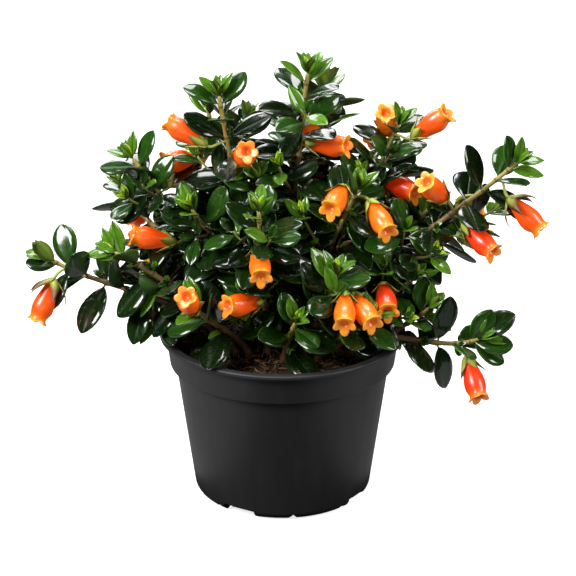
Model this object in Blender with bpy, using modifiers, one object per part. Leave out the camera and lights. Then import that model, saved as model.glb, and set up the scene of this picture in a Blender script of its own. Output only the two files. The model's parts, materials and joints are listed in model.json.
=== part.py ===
"""A goldfish plant in its nursery pot: glossy leaves in pairs and orange pouch flowers.

Metres, +Z up. The origin is the centre of the pot's flat underside, and the plant's
front faces -Y. Each shoot is a tapering limb that rises from the potting soil or forks
off another limb, and the leafy end that it carries is a mass of its own.
"""

import math
import random
from collections import namedtuple

import bmesh
import bpy
from mathutils import Matrix, Vector
from mathutils.bvhtree import BVHTree

MM = 0.001
UP = Vector((0.0, 0.0, 1.0))
SEAT_GAP = 0.3 * MM

# Pot
POT_HEIGHT = 83.5 * MM
LIP_RADIUS = 60.0 * MM
LIP_THICKNESS = 2.0 * MM
LIP_ROUNDING = 0.7 * MM
COLLAR_TOP_RADIUS = 56.6 * MM
COLLAR_FOOT_RADIUS = 55.0 * MM
COLLAR_HEIGHT = 16.5 * MM
COLLAR_FALL = 0.4 * MM
MOUTH_FLARE = 0.6 * MM
WALL_TOP_RADIUS = 52.2 * MM
WALL_FOOT_RADIUS = 43.5 * MM
FOOT_RADIUS = 42.7 * MM
FOOT_ROUNDING = 4.5 * MM
WALL = 1.3 * MM
FLOOR = 6.2 * MM
POT_STEPS = 36
NOTCH_HEIGHT = 4.8 * MM
NOTCH_DEPTH = 7.0 * MM
NOTCHES = 4
NOTCH_WIDTH = 17.0 * MM
NOTCH_START = -120.0

# Potting soil
SOIL_TOP = 77.5 * MM
SOIL_EDGE_TOP = 76.0 * MM
SOIL_FLAT_RADIUS = 42.0 * MM
SOIL_FOOT = 8.0 * MM
SOIL_STEPS = 36

# Limbs
FOOT_GIRTH = 1.85 * MM
TIP_GIRTH = 1.0 * MM
SIDE_GIRTH = 1.4 * MM
FOOT_RISE = 1.5 * MM
FOOT_SWELL = 1.06
FORK_LEAST = 0.35
LIMB_POINTS = 4
AXIS_POINTS = 5
LIMB_SIDES = 6
TWIG_SIDES = 4
LENGTH_STEPS = 24
HALVINGS = 18
# Least share of a stem between the start of its mass and the lowest leaf, twig or flower
LEAF_START = 0.03
FORK_START = 0.04

# Leaves, from a shoot's tip down: how far below the tip each pair stands, how long its
# leaves are, and how far they lean out from the stem.
Rank = namedtuple("Rank", "below length lean")
RANKS = (
    Rank(1.0, 11.0, 16.0),
    Rank(5.0, 19.0, 46.0),
    Rank(12.5, 23.0, 58.0),
    Rank(21.5, 25.5, 68.0),
    Rank(31.0, 26.5, 78.0),
    Rank(41.0, 26.5, 86.0),
    Rank(51.5, 26.0, 92.0),
    Rank(62.0, 25.5, 95.0),
    Rank(72.5, 25.0, 98.0),
    Rank(83.0, 24.0, 100.0),
)
LEAF_WIDTH = 0.64
LEAF_WIDEST = 0.54
LEAF_CROWN = 0.020
LEAF_BELLY = 0.035
LEAF_DROOP = 0.10
LEAF_SEAT = 0.35 * MM
LEAF_CLEAR = 0.55 * MM
LEAF_TURNS = (0.0, 15.0, -15.0, 30.0, -30.0, 45.0, -45.0, 60.0, -60.0)
LEAF_TILTS = (0.0, -16.0, 14.0, -30.0, 26.0)
LEAST_LEAN = 14.0
SMALLER_LEAF = 0.8
LIGHT_PULL = 0.62
FRONT_LIGHT = Vector((0.0, -0.62, 0.78))
BACK_LIGHT_LEAN = 0.7
ROLL_SPREAD = 9.0
LEAN_SPREAD = 7.0
SIZE_SPREAD = (0.92, 1.06)

# Side twigs
TWIG_GIRTH = 0.8 * MM
TWIG_LENGTH = 24.0 * MM
TWIG_LEAN = 52.0
TWIG_RISE = 0.18
TWIG_BEND = 0.8
TWIG_POINTS = 4
TWIG_TAPER = 0.24
TWIG_BARE = 0.12
TWIG_RANKS = (
    Rank(0.8, 9.0, 18.0),
    Rank(4.0, 15.0, 50.0),
    Rank(12.0, 18.5, 72.0),
)

# Flowers
FLOWER_LENGTH = 23.0 * MM
PEDICEL_GIRTH = 0.55 * MM
FLOWER_CLEAR = 0.5 * MM
FLOWER_SIDES = 6
STALK_SINK = 0.25
# Rings of the flower from the calyx to the mouth: share of the length, radius, and how
# far the ring's centre lies towards the chin.
FlowerRing = namedtuple("FlowerRing", "share radius chin")
FLOWER_RINGS = (
    FlowerRing(0.16, 3.0 * MM, 0.0),
    FlowerRing(0.45, 4.6 * MM, 0.4 * MM),
    FlowerRing(0.72, 5.2 * MM, 0.7 * MM),
    FlowerRing(0.97, 5.2 * MM, 0.0),
)
FLOWER_THROAT = 0.90

# Shoots: where each one starts, the place of its tip in mm, how steeply the tip points
# (degrees above level), the share of it that is bare, the turn of its leaf pairs about
# the stem and the places of its side twigs (share, bearing about the stem). A shoot with
# no parent starts on the soil at foot = (x, y); a side shoot starts off its parent's
# limb at foot = (share along the parent, 0).
Shoot = namedtuple("Shoot", "name parent foot tip climb bare roll twigs")
SHOOTS = (
    Shoot("far_left", "", (-27, -13), (-113, -5.5, 122.5), 32, 0.33, 132, ()),
    Shoot("left", "", (-23, -19), (-80, -13, 128), 28, 0.34, 26, ()),
    Shoot("upper_left", "", (-15, -1), (-72, 13, 166.5), 54, 0.34, 19, ((0.71, 150),)),
    Shoot("top_left", "", (-9, 6), (-30, 6, 200), 82, 0.30, 0, ((0.6, 64),)),
    Shoot("inner_left", "top_left", (0.26, 0), (-43, -12, 149.5), 62, 0.20, 60, ((0.5, 30),)),
    Shoot("top_centre", "", (3, 10), (12, 15, 208.5), 82, 0.30, 10, ((0.53, 303),)),
    Shoot("right_top", "", (15, 10), (56, 25, 179.5), 67, 0.32, 21, ((0.58, 317),)),
    Shoot("mid_right", "", (10, -6), (36, -9, 158.5), 64, 0.28, 50, ((0.55, 300),)),
    Shoot("far_right", "", (24, 0), (111, -4.5, 170), 44, 0.34, 4, ((0.43, 30), (0.67, 116))),
    Shoot("right_upper", "right_top", (0.3, 0), (70.5, 9, 142), 52, 0.22, 111, ()),
    Shoot("right_low", "", (26, -14), (94.5, -27, 89.5), 30, 0.36, 3, ()),
    Shoot("right_low_side", "right_low", (0.4, 0), (70, -20.5, 102.5), 48, 0.12, 5, ()),
    Shoot("right_inner", "", (21, -8), (62, -16, 115.5), 52, 0.26, 25, ((0.55, 40),)),
    Shoot("centre_front", "", (-7, -17), (-11, -29, 154.5), 82, 0.24, 4, ((0.5, 240),)),
    Shoot("front_right", "", (11, -20), (25, -36, 125.5), 76, 0.24, 30, ((0.45, 120),)),
    Shoot("low_left_front", "", (-16, -22), (-42, -36, 109.5), 56, 0.22, 45, ()),
    Shoot("low_front", "", (1, -27), (6, -42, 103.5), 58, 0.22, 20, ()),
    Shoot("low_right_front", "", (17, -26), (41, -41, 105.5), 54, 0.20, 20, ()),
    Shoot("crown_middle", "", (-1, -4), (-12, -4, 161.5), 80, 0.26, 15, ((0.55, 300),)),
    Shoot("back_top_left", "", (-9, 15), (-36.5, 35.5, 185.5), 79, 0.32, 171, ((0.74, 325),)),
    Shoot("back_top_right", "", (8, 17), (21.5, 46.5, 193.5), 64, 0.32, 0, ((0.48, 56),)),
    Shoot("back_left", "", (-17, 13), (-79, 49, 139), 58, 0.32, 162, ((0.44, 34),)),
    Shoot("back_left_low", "back_left", (0.25, 0), (-69, 82.5, 94.5), 56, 0.22, 97, ()),
    Shoot("back_middle", "", (0, 22), (2, 71, 166), 88, 0.30, 98, ((0.56, 8),)),
    Shoot("back_right", "", (13, 18), (59, 66, 151), 75, 0.30, 7, ((0.52, 72),)),
    Shoot("back_right_low", "", (23, 11), (94.5, 53, 118.5), 17, 0.32, 113, ((0.4, 119),)),
    Shoot("back_low", "", (6, 27), (29.5, 96, 106.5), 45, 0.32, 54, ()),
)

# Flowers in view: the shoot, the share along it where the flower stalk leaves, the reach
# of the stalk in mm, and the bearing (0 = +X, 90 = away from the front) and rise of the
# flower's own line, in degrees.
Flower = namedtuple("Flower", "shoot share stalk bearing rise")
FLOWERS = (
    Flower("far_left", 0.89, (-6, -6, -3.5), -140, -60),
    Flower("upper_left", 0.60, (-5, -13.5, -2.5), -170, 15),
    Flower("top_left", 0.81, (-10, -4, -0.5), 165, 30),
    Flower("top_left", 0.75, (5, -10, 1.5), -80, 30),
    Flower("back_top_left", 0.78, (-9, -5, 1), -140, 5),
    Flower("top_centre", 0.75, (2.5, -6.5, 0), -25, 5),
    Flower("back_top_right", 0.66, (-6, 4, 4.5), -50, 70),
    Flower("right_top", 0.95, (8.5, -8, 1.5), -15, 40),
    Flower("right_top", 0.92, (-1.5, 15, -0.5), -95, 45),
    Flower("right_top", 0.90, (-1, 14, -7), 105, 0),
    Flower("right_top", 0.72, (5.5, 2, 1), -45, -5),
    Flower("far_right", 0.70, (-4, -6, 8), -130, 40),
    Flower("far_right", 0.92, (4, -3.5, -9.5), -20, -40),
    Flower("far_right", 0.74, (0, -9.5, -6), -45, -25),
    Flower("far_right", 0.80, (-6.5, 12, -7), 60, -30),
    Flower("mid_right", 0.96, (-5, -6, 6), -110, -10),
    Flower("mid_right", 0.95, (7, -6, 0), -65, -25),
    Flower("centre_front", 0.74, (-1.5, -6, 3), -85, -20),
    Flower("centre_front", 0.47, (-1, -9, -5), -140, 10),
    Flower("front_right", 0.75, (7.5, -8, 4.5), -92, -22),
    Flower("front_right", 0.90, (9.5, -1, -5), -65, -20),
    Flower("right_inner", 0.77, (-5, -8, 8.5), -85, -15),
    Flower("low_left_front", 0.82, (-4, -6, 5), -100, 40),
    Flower("right_low", 0.82, (5.5, -7.5, -3.5), -70, -45),
)

# Flowers on the shoots at the back, out of view from the front
BACK_FROM = 30.0
BACK_FLOWER_SHARES = (0.66, 0.84)
BACK_STALK = 9.5
BACK_TURN = 0.4
BACK_BEARING_SPREAD = 25.0
BACK_STALK_RISE = (-20.0, 15.0)
BACK_FLOWER_RISE = (-70.0, -10.0)

SEED = 7


def in_mm(values):
    """A place in metres from one in millimetres."""
    return Vector(values) * MM


def clear_scene():
    for thing in list(bpy.data.objects):
        bpy.data.objects.remove(thing, do_unlink=True)


def finish(name, colour, roughness, metallic=0.0):
    """A plain material for one kind of piece."""
    material = bpy.data.materials.new(name)
    material.use_nodes = True
    shader = material.node_tree.nodes["Principled BSDF"]
    shader.inputs["Base Color"].default_value = (*colour, 1.0)
    shader.inputs["Roughness"].default_value = roughness
    shader.inputs["Metallic"].default_value = metallic
    material.diffuse_color = (*colour, 1.0)
    return material


def add_object(name, data, collection, material=None):
    thing = bpy.data.objects.new(name, data)
    collection.objects.link(thing)
    if material is not None:
        data.materials.append(material)
    return thing


def turned(name, profile, steps, collection, material):
    """A solid turned about Z from a profile of (radius, height), outer side downwards."""
    mesh = bpy.data.meshes.new(name)
    body = bmesh.new()
    corners = [body.verts.new((radius, 0.0, height)) for radius, height in profile]
    for upper, lower in zip(corners, corners[1:]):
        body.edges.new((upper, lower))
    body.to_mesh(mesh)
    body.free()
    thing = add_object(name, mesh, collection, material)
    screw = thing.modifiers.new("turn", "SCREW")
    screw.steps = steps
    screw.render_steps = steps
    screw.use_merge_vertices = True
    screw.merge_threshold = 0.00001
    return thing


def foot_curve(inset):
    """The pot's rounded foot corner, inset from its outside, wall side first."""
    radius = FOOT_ROUNDING - inset
    centre_r = WALL_FOOT_RADIUS - FOOT_ROUNDING
    middle = FOOT_RADIUS - FOOT_ROUNDING
    points = []
    for turn in (0.0, 45.0, 90.0):
        angle = math.radians(turn)
        reach = centre_r * (1.0 - turn / 90.0) + middle * turn / 90.0
        points.append((reach + radius * math.cos(angle), FOOT_ROUNDING - radius * math.sin(angle)))
    return points


def wall_inside(height):
    """The radius of the pot's inner wall at a height between its foot and its collar."""
    share = (height - FOOT_ROUNDING) / (POT_HEIGHT - COLLAR_HEIGHT - FOOT_ROUNDING)
    return WALL_FOOT_RADIUS + (WALL_TOP_RADIUS - WALL_FOOT_RADIUS) * share - WALL


def make_pot(collection, cutters, material):
    step = POT_HEIGHT - COLLAR_HEIGHT
    inner_corner = foot_curve(WALL)
    inside = [(0.0, FLOOR)]
    inside += [(radius, max(height, FLOOR)) for radius, height in reversed(inner_corner[:-1])]
    inside += [
        (wall_inside(step), step),
        (COLLAR_FOOT_RADIUS - WALL, step + WALL),
        (COLLAR_TOP_RADIUS - WALL, POT_HEIGHT - LIP_THICKNESS),
        (COLLAR_TOP_RADIUS - WALL + MOUTH_FLARE, POT_HEIGHT),
    ]
    outside = [
        (LIP_RADIUS - LIP_ROUNDING, POT_HEIGHT),
        (LIP_RADIUS, POT_HEIGHT - LIP_ROUNDING),
        (LIP_RADIUS, POT_HEIGHT - LIP_THICKNESS),
        (COLLAR_TOP_RADIUS, POT_HEIGHT - LIP_THICKNESS - COLLAR_FALL),
        (COLLAR_FOOT_RADIUS, step),
        (WALL_TOP_RADIUS, step - COLLAR_FALL),
    ]
    outside += foot_curve(0.0)
    outside.append((0.0, 0.0))
    pot = turned("pot", inside + outside, POT_STEPS, collection, material)
    for index in range(NOTCHES):
        angle = math.radians(NOTCH_START + index * 360.0 / NOTCHES)
        cutter = notch_cutter(f"notch_cutter_{index + 1}", angle, cutters)
        cut = pot.modifiers.new(f"notch {index + 1}", "BOOLEAN")
        cut.operation = "DIFFERENCE"
        cut.object = cutter
    return pot


def notch_cutter(name, angle, cutters):
    """A low box across the foot's edge, where water drains out from under the pot."""
    mesh = bpy.data.meshes.new(name)
    body = bmesh.new()
    bmesh.ops.create_cube(body, size=1.0)
    size = Matrix.Diagonal((2.0 * NOTCH_DEPTH, NOTCH_WIDTH, 2.0 * NOTCH_HEIGHT, 1.0))
    place = Matrix.Rotation(angle, 4, "Z") @ Matrix.Translation((FOOT_RADIUS, 0.0, 0.0))
    body.transform(place @ size)
    body.to_mesh(mesh)
    body.free()
    cutter = add_object(name, mesh, cutters)
    cutter.hide_render = True
    cutter.display_type = "WIRE"
    return cutter


def make_soil(collection, material):
    """The soil fills the pot up to a little under its lip, and sinks towards the wall."""
    step = POT_HEIGHT - COLLAR_HEIGHT
    bottom = FLOOR + SEAT_GAP
    edge = COLLAR_FOOT_RADIUS - WALL - SEAT_GAP
    profile = [
        (0.0, SOIL_TOP),
        (SOIL_FLAT_RADIUS, SOIL_TOP),
        (edge, SOIL_EDGE_TOP),
        (edge, step + WALL + SEAT_GAP),
        (wall_inside(step) - SEAT_GAP, step),
        (wall_inside(SOIL_FOOT) - SEAT_GAP, SOIL_FOOT),
        (FOOT_RADIUS - FOOT_ROUNDING, bottom),
        (0.0, bottom),
    ]
    return turned("potting_soil", profile, SOIL_STEPS, collection, material)


def bezier(path, share):
    """The place and the direction of a limb's line at a share of its length."""
    start, out, back, tip = path
    rest = 1.0 - share
    place = start * rest**3 + out * 3 * rest**2 * share + back * 3 * rest * share**2 + tip * share**3
    along = (out - start) * rest**2 + (back - out) * 2 * rest * share + (tip - back) * share**2
    return place, along.normalized()


def girth(shoot, share):
    """The radius of a shoot's stem at a share of its length."""
    foot = SIDE_GIRTH if shoot.parent else FOOT_GIRTH
    return foot + (TIP_GIRTH - foot) * share


def shoot_path(shoot, shoots, paths):
    """The four control places of a shoot's line, clear of the limb that it forks off."""
    tip = in_mm(shoot.tip)
    if shoot.parent:
        parent = shoots[shoot.parent]
        fork, along = bezier(paths[shoot.parent], shoot.foot[0])
        leave = (tip - fork).normalized()
        across = max(FORK_LEAST, leave.cross(along).length)
        needed = girth(parent, shoot.foot[0]) + SEAT_GAP + SIDE_GIRTH * abs(leave.dot(along))
        start = fork + leave * (needed / across)
    else:
        start = Vector((shoot.foot[0] * MM, shoot.foot[1] * MM, SOIL_TOP + SEAT_GAP + FOOT_RISE))
        leave = ((tip - start).normalized() + UP).normalized()
    span = (tip - start).length
    level = Vector((tip.x - start.x, tip.y - start.y, 0.0)).normalized()
    climb = math.radians(shoot.climb)
    arrive = level * math.cos(climb) + UP * math.sin(climb)
    return start, start + leave * (span / 3.0), tip - arrive * (span / 3.0), tip


def path_length(path, first=0.0, last=1.0):
    shares = [first + (last - first) * k / LENGTH_STEPS for k in range(LENGTH_STEPS + 1)]
    places = [bezier(path, share)[0] for share in shares]
    return sum((b - a).length for a, b in zip(places, places[1:]))


def share_below_tip(path, below):
    """The share of a path that lies a given distance back from its tip."""
    low, high = 0.0, 1.0
    for _ in range(HALVINGS):
        middle = (low + high) / 2.0
        if path_length(path, middle, 1.0) > below:
            low = middle
        else:
            high = middle
    return low


def tube(name, places, radii, sides, collection, material=None):
    """A tapering stem through the places given, as a curve with filled ends."""
    curve = bpy.data.curves.new(name, "CURVE")
    curve.dimensions = "3D"
    curve.bevel_depth = 1.0
    curve.bevel_resolution = (sides - 4) // 2
    curve.use_fill_caps = True
    spline = curve.splines.new("POLY")
    spline.points.add(len(places) - 1)
    for point, place, radius in zip(spline.points, places, radii):
        point.co = (*place, 1.0)
        point.radius = radius
    return add_object(name, curve, collection, material)


def as_mesh(thing, collection):
    """The curve made a mesh with its end caps welded; the curve is removed."""
    bpy.context.view_layer.update()
    depsgraph = bpy.context.evaluated_depsgraph_get()
    mesh = bpy.data.meshes.new_from_object(thing.evaluated_get(depsgraph))
    body = bmesh.new()
    body.from_mesh(mesh)
    bmesh.ops.remove_doubles(body, verts=body.verts, dist=0.000001)
    bmesh.ops.recalc_face_normals(body, faces=body.faces)
    body.to_mesh(mesh)
    body.free()
    name = thing.name
    bpy.data.objects.remove(thing, do_unlink=True)
    return add_object(name, mesh, collection)


def leaf_body(length, clear=0.0):
    """A leaf of eight faces along +X with its upper side to +Z."""
    body = bmesh.new()
    bmesh.ops.create_uvsphere(body, u_segments=4, v_segments=2, radius=1.0)
    half = LEAF_WIDTH * length / 2.0 + clear
    for corner in body.verts:
        x, y, z = corner.co
        if x < -0.5:
            corner.co = (0.0, 0.0, 0.0)
        elif x > 0.5:
            corner.co = (length + clear, 0.0, -LEAF_DROOP * length)
        elif abs(y) > 0.5:
            corner.co = (LEAF_WIDEST * length, math.copysign(half, y), -0.04 * length)
        elif z > 0.0:
            corner.co = (LEAF_WIDEST * length, 0.0, LEAF_CROWN * length + clear)
        else:
            corner.co = (LEAF_WIDEST * length, 0.0, -LEAF_BELLY * length - clear)
    return body


def flower_body(clear=0.0):
    """A pouch flower along +X with its chin to -Z."""
    body = bmesh.new()
    count = len(FLOWER_RINGS) + 1
    bmesh.ops.create_uvsphere(body, u_segments=FLOWER_SIDES, v_segments=count, radius=1.0)
    for corner in body.verts:
        polar = math.acos(max(-1.0, min(1.0, corner.co.z)))
        index = round(polar / math.pi * count)
        if index == 0:
            corner.co = (-clear, 0.0, 0.0)
        elif index == count:
            corner.co = (FLOWER_THROAT * FLOWER_LENGTH + clear, 0.0, -FLOWER_RINGS[-1].chin)
        else:
            ring = FLOWER_RINGS[index - 1]
            turn = math.atan2(corner.co.y, corner.co.x)
            radius = ring.radius + clear
            across = radius * math.sin(turn)
            down = radius * math.cos(turn) + ring.chin
            corner.co = (ring.share * FLOWER_LENGTH, across, -down)
    bmesh.ops.recalc_face_normals(body, faces=body.faces)
    return body


def frame_at(place, along, upper):
    """A frame at a place: X along a direction, Z as near as can be to the upper side."""
    x = along.normalized()
    z = upper - x * upper.dot(x)
    if z.length < 1e-6:
        z = x.orthogonal()
    z.normalize()
    y = z.cross(x)
    frame = Matrix((x, y, z)).transposed().to_4x4()
    frame.translation = place
    return frame


def bearing_vector(bearing, rise):
    a = math.radians(bearing)
    b = math.radians(rise)
    return Vector((math.cos(a) * math.cos(b), math.sin(a) * math.cos(b), math.sin(b)))


class Taken:
    """The room that limbs, flowers and leaves already take up."""

    def __init__(self):
        self.trees = []

    def tree_of(self, body, frame):
        corners = [frame @ corner.co for corner in body.verts]
        faces = [[corner.index for corner in face.verts] for face in body.faces]
        middle = sum(corners, Vector()) / len(corners)
        reach = max((corner - middle).length for corner in corners)
        return BVHTree.FromPolygons(corners, faces), middle, reach

    def add(self, entry, owner=None):
        self.trees.append((*entry, owner))

    def free(self, entry, owner=None):
        tree, middle, reach = entry
        for other, centre, size, whose in self.trees:
            if owner is not None and whose == owner:
                continue
            if (centre - middle).length > reach + size:
                continue
            if tree.overlap(other):
                return False
        return True


def pot_entry(taken):
    """Room for the filled pot: the soil's top, the pot's mouth and its outside."""
    mouth = COLLAR_TOP_RADIUS - WALL
    profile = [
        (0.0, SOIL_TOP),
        (SOIL_FLAT_RADIUS, SOIL_TOP),
        (mouth, SOIL_EDGE_TOP),
        (mouth, POT_HEIGHT),
        (LIP_RADIUS, POT_HEIGHT),
        (LIP_RADIUS, POT_HEIGHT - LIP_THICKNESS),
        (COLLAR_FOOT_RADIUS, POT_HEIGHT - COLLAR_HEIGHT),
        (WALL_FOOT_RADIUS, FOOT_ROUNDING),
    ]
    body = bmesh.new()
    corners = [body.verts.new((radius, 0.0, height)) for radius, height in profile]
    line = [body.edges.new(pair) for pair in zip(corners, corners[1:])]
    bmesh.ops.spin(
        body,
        geom=corners + line,
        cent=(0.0, 0.0, 0.0),
        axis=UP,
        angle=math.tau,
        steps=POT_STEPS,
        use_merge=True,
    )
    body.verts.index_update()
    entry = taken.tree_of(body, Matrix())
    body.free()
    return entry


def tube_entries(taken, places, radii, clear):
    """Room for a stem, one four-sided piece for each stretch of it."""
    entries = []
    for (a, b), radius in zip(zip(places, places[1:]), radii):
        body = bmesh.new()
        length = (b - a).length
        bmesh.ops.create_cone(
            body,
            cap_ends=True,
            cap_tris=True,
            segments=4,
            radius1=radius + clear,
            radius2=radius + clear,
            depth=length,
        )
        body.transform(Matrix.Translation((0.0, 0.0, length / 2.0)))
        body.verts.index_update()
        turn = UP.rotation_difference((b - a).normalized()).to_matrix().to_4x4()
        turn.translation = a
        entries.append(taken.tree_of(body, turn))
        body.free()
    return entries


Leaf = namedtuple("Leaf", "frame length rank")
Twig = namedtuple("Twig", "places radii")
Bloom = namedtuple("Bloom", "frame stalk")


def light_for(shoot):
    """The light that a shoot's leaves turn to: from the front, or from behind at the back."""
    if shoot.tip[1] <= BACK_FROM:
        return FRONT_LIGHT
    outward = Vector((shoot.tip[0], shoot.tip[1], 0.0)).normalized()
    return (UP + outward * BACK_LIGHT_LEAN).normalized()


def leaf_frame(place, along, pair, lean, light):
    """The frame of a leaf that leans out from its stem, its upper side to the light."""
    angle = math.radians(lean)
    out = along * math.cos(angle) + pair * math.sin(angle)
    upper = along * (1.0 - LIGHT_PULL) + light * LIGHT_PULL
    if upper.cross(out).length < 0.2:
        upper = upper + along
    return frame_at(place + out * LEAF_SEAT, out, upper)


def place_leaf(taken, owner, place, along, pair, rank, light):
    """The first free place for a leaf near the one that its rank gives, or nothing."""
    for size in (1.0, SMALLER_LEAF):
        length = rank.length * size * MM
        for turn in LEAF_TURNS:
            side = Matrix.Rotation(math.radians(turn), 3, along) @ pair
            for tilt in LEAF_TILTS:
                lean = max(LEAST_LEAN, rank.lean + tilt)
                frame = leaf_frame(place, along, side, lean, light)
                body = leaf_body(length, LEAF_CLEAR)
                body.verts.index_update()
                entry = taken.tree_of(body, frame)
                body.free()
                if taken.free(entry, owner):
                    taken.add(entry)
                    return Leaf(frame, length, rank)
    return None


def leaf_pairs(taken, shoot, path, ranks, roll, stop, draw):
    """Pairs of leaves down a stem, each pair square to the one above it."""
    leaves = []
    for index, rank in enumerate(ranks):
        share = share_below_tip(path, rank.below * MM)
        if share < stop + LEAF_START:
            break
        place, along = bezier(path, share)
        level = along.cross(UP)
        if level.length < 0.05:
            level = Vector((1.0, 0.0, 0.0))
        level.normalize()
        turn = roll + 90.0 * (index % 2) + draw.uniform(-ROLL_SPREAD, ROLL_SPREAD)
        pair = Matrix.Rotation(math.radians(turn), 3, along) @ level
        size = rank.length * draw.uniform(*SIZE_SPREAD)
        for side in (1.0, -1.0):
            lean = rank.lean + draw.uniform(-LEAN_SPREAD, LEAN_SPREAD)
            this = Rank(rank.below, size, lean)
            leaf = place_leaf(taken, shoot.name, place, along, pair * side, this, light_for(shoot))
            if leaf is not None:
                leaves.append(leaf)
    return leaves


def side_path(path, share, bearing, length):
    """The line of a side twig, which leaves its stem and bends up to the light."""
    place, along = bezier(path, share)
    level = along.cross(UP)
    level = level.normalized() if level.length > 0.05 else Vector((1.0, 0.0, 0.0))
    out = Matrix.Rotation(math.radians(bearing), 3, along) @ level
    lean = math.radians(TWIG_LEAN)
    leave = along * math.cos(lean) + out * math.sin(lean)
    tip = place + leave * length + UP * (TWIG_RISE * length)
    arrive = (leave + UP * TWIG_BEND).normalized()
    return place, place + leave * (length / 3.0), tip - arrive * (length / 3.0), tip


def stretch(path, first, last, count):
    return [bezier(path, first + (last - first) * k / (count - 1))[0] for k in range(count)]


def grow():
    """All limbs, twigs, flowers and leaves, by the seeded rule, in the order of SHOOTS."""
    shoots = {shoot.name: shoot for shoot in SHOOTS}
    paths = {}
    for shoot in SHOOTS:
        paths[shoot.name] = shoot_path(shoot, shoots, paths)
    taken = Taken()
    taken.add(pot_entry(taken))
    plants = {}
    for shoot in SHOOTS:
        path = paths[shoot.name]
        gap = SEAT_GAP / path_length(path)
        limb = stretch(path, 0.0, shoot.bare, LIMB_POINTS)
        axis = stretch(path, shoot.bare + gap, 1.0, AXIS_POINTS)
        limb_radii = [girth(shoot, shoot.bare * k / (LIMB_POINTS - 1)) for k in range(LIMB_POINTS)]
        first = shoot.bare + gap
        axis_radii = [
            girth(shoot, first + (1.0 - first) * k / (AXIS_POINTS - 1)) for k in range(AXIS_POINTS)
        ]
        for entry in tube_entries(taken, limb, limb_radii, LEAF_CLEAR):
            taken.add(entry, shoot.name)
        for entry in tube_entries(taken, axis, axis_radii, LEAF_CLEAR):
            taken.add(entry, shoot.name)
        plants[shoot.name] = {
            "limb": Twig(limb, limb_radii),
            "axis": Twig(axis, axis_radii),
            "twigs": [],
            "blooms": [],
            "leaves": [],
        }
    for shoot in SHOOTS:
        grow_flowers(shoot, paths[shoot.name], plants[shoot.name], taken)
    for shoot in SHOOTS:
        grow_twigs(shoot, paths[shoot.name], plants[shoot.name], taken)
    for index, shoot in enumerate(SHOOTS):
        draw = random.Random(SEED + index)
        own = plants[shoot.name]
        own["leaves"] += leaf_pairs(
            taken, shoot, paths[shoot.name], RANKS, shoot.roll, shoot.bare, draw
        )
        for path in own["twig_paths"]:
            own["leaves"] += leaf_pairs(
                taken, shoot, path, TWIG_RANKS, draw.uniform(0.0, 90.0), TWIG_BARE, draw
            )
    return plants


def grow_flowers(shoot, path, own, taken):
    rows = [row for row in FLOWERS if row.shoot == shoot.name]
    if shoot.tip[1] > BACK_FROM:
        draw = random.Random(shoot.name)
        outward = math.degrees(math.atan2(shoot.tip[1], shoot.tip[0]))
        for share in BACK_FLOWER_SHARES:
            bearing = 90.0 + (outward - 90.0) * BACK_TURN
            bearing += draw.uniform(-BACK_BEARING_SPREAD, BACK_BEARING_SPREAD)
            stalk = bearing_vector(bearing, draw.uniform(*BACK_STALK_RISE)) * BACK_STALK
            rise = draw.uniform(*BACK_FLOWER_RISE)
            rows.append(Flower(shoot.name, share, tuple(stalk), bearing, rise))
    for row in rows:
        place = bezier(path, row.share)[0]
        calyx = place + in_mm(row.stalk)
        axis = bearing_vector(row.bearing, row.rise)
        frame = frame_at(calyx, axis, UP)
        body = flower_body(FLOWER_CLEAR)
        body.verts.index_update()
        entry = taken.tree_of(body, frame)
        body.free()
        stalk = [place, calyx, calyx + axis * (STALK_SINK * FLOWER_LENGTH)]
        radii = [PEDICEL_GIRTH] * 3
        stalks = tube_entries(taken, stalk[:2], radii, FLOWER_CLEAR)
        if not taken.free(entry) or not all(taken.free(item, shoot.name) for item in stalks):
            continue
        taken.add(entry)
        for item in stalks:
            taken.add(item, shoot.name)
        own["blooms"].append(Bloom(frame, Twig(stalk, radii)))


def grow_twigs(shoot, path, own, taken):
    own["twig_paths"] = []
    for share, bearing in shoot.twigs:
        if share < shoot.bare + FORK_START:
            continue
        twig = side_path(path, share, bearing, TWIG_LENGTH)
        places = stretch(twig, 0.0, 1.0, TWIG_POINTS)
        radii = [TWIG_GIRTH * (1.0 - TWIG_TAPER * k / (TWIG_POINTS - 1)) for k in range(TWIG_POINTS)]
        entries = tube_entries(taken, places, radii, LEAF_CLEAR)
        if not all(taken.free(item, shoot.name) for item in entries):
            continue
        for item in entries:
            taken.add(item, shoot.name)
        own["twigs"].append(Twig(places, radii))
        own["twig_paths"].append(twig)


def body_object(name, body, frame, collection):
    mesh = bpy.data.meshes.new(name)
    body.transform(frame)
    body.to_mesh(mesh)
    body.free()
    return add_object(name, mesh, collection)


def largest_body(mesh):
    """Keeps the largest closed body of a mesh, so that no loose scrap stays."""
    body = bmesh.new()
    body.from_mesh(mesh)
    bmesh.ops.remove_doubles(body, verts=body.verts, dist=0.0000005)
    unseen = set(body.verts)
    groups = []
    while unseen:
        queue = [unseen.pop()]
        group = list(queue)
        while queue:
            corner = queue.pop()
            for edge in corner.link_edges:
                other = edge.other_vert(corner)
                if other in unseen:
                    unseen.remove(other)
                    queue.append(other)
                    group.append(other)
        groups.append(group)
    groups.sort(key=len, reverse=True)
    for group in groups[1:]:
        bmesh.ops.delete(body, geom=group, context="VERTS")
    body.to_mesh(mesh)
    body.free()


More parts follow.
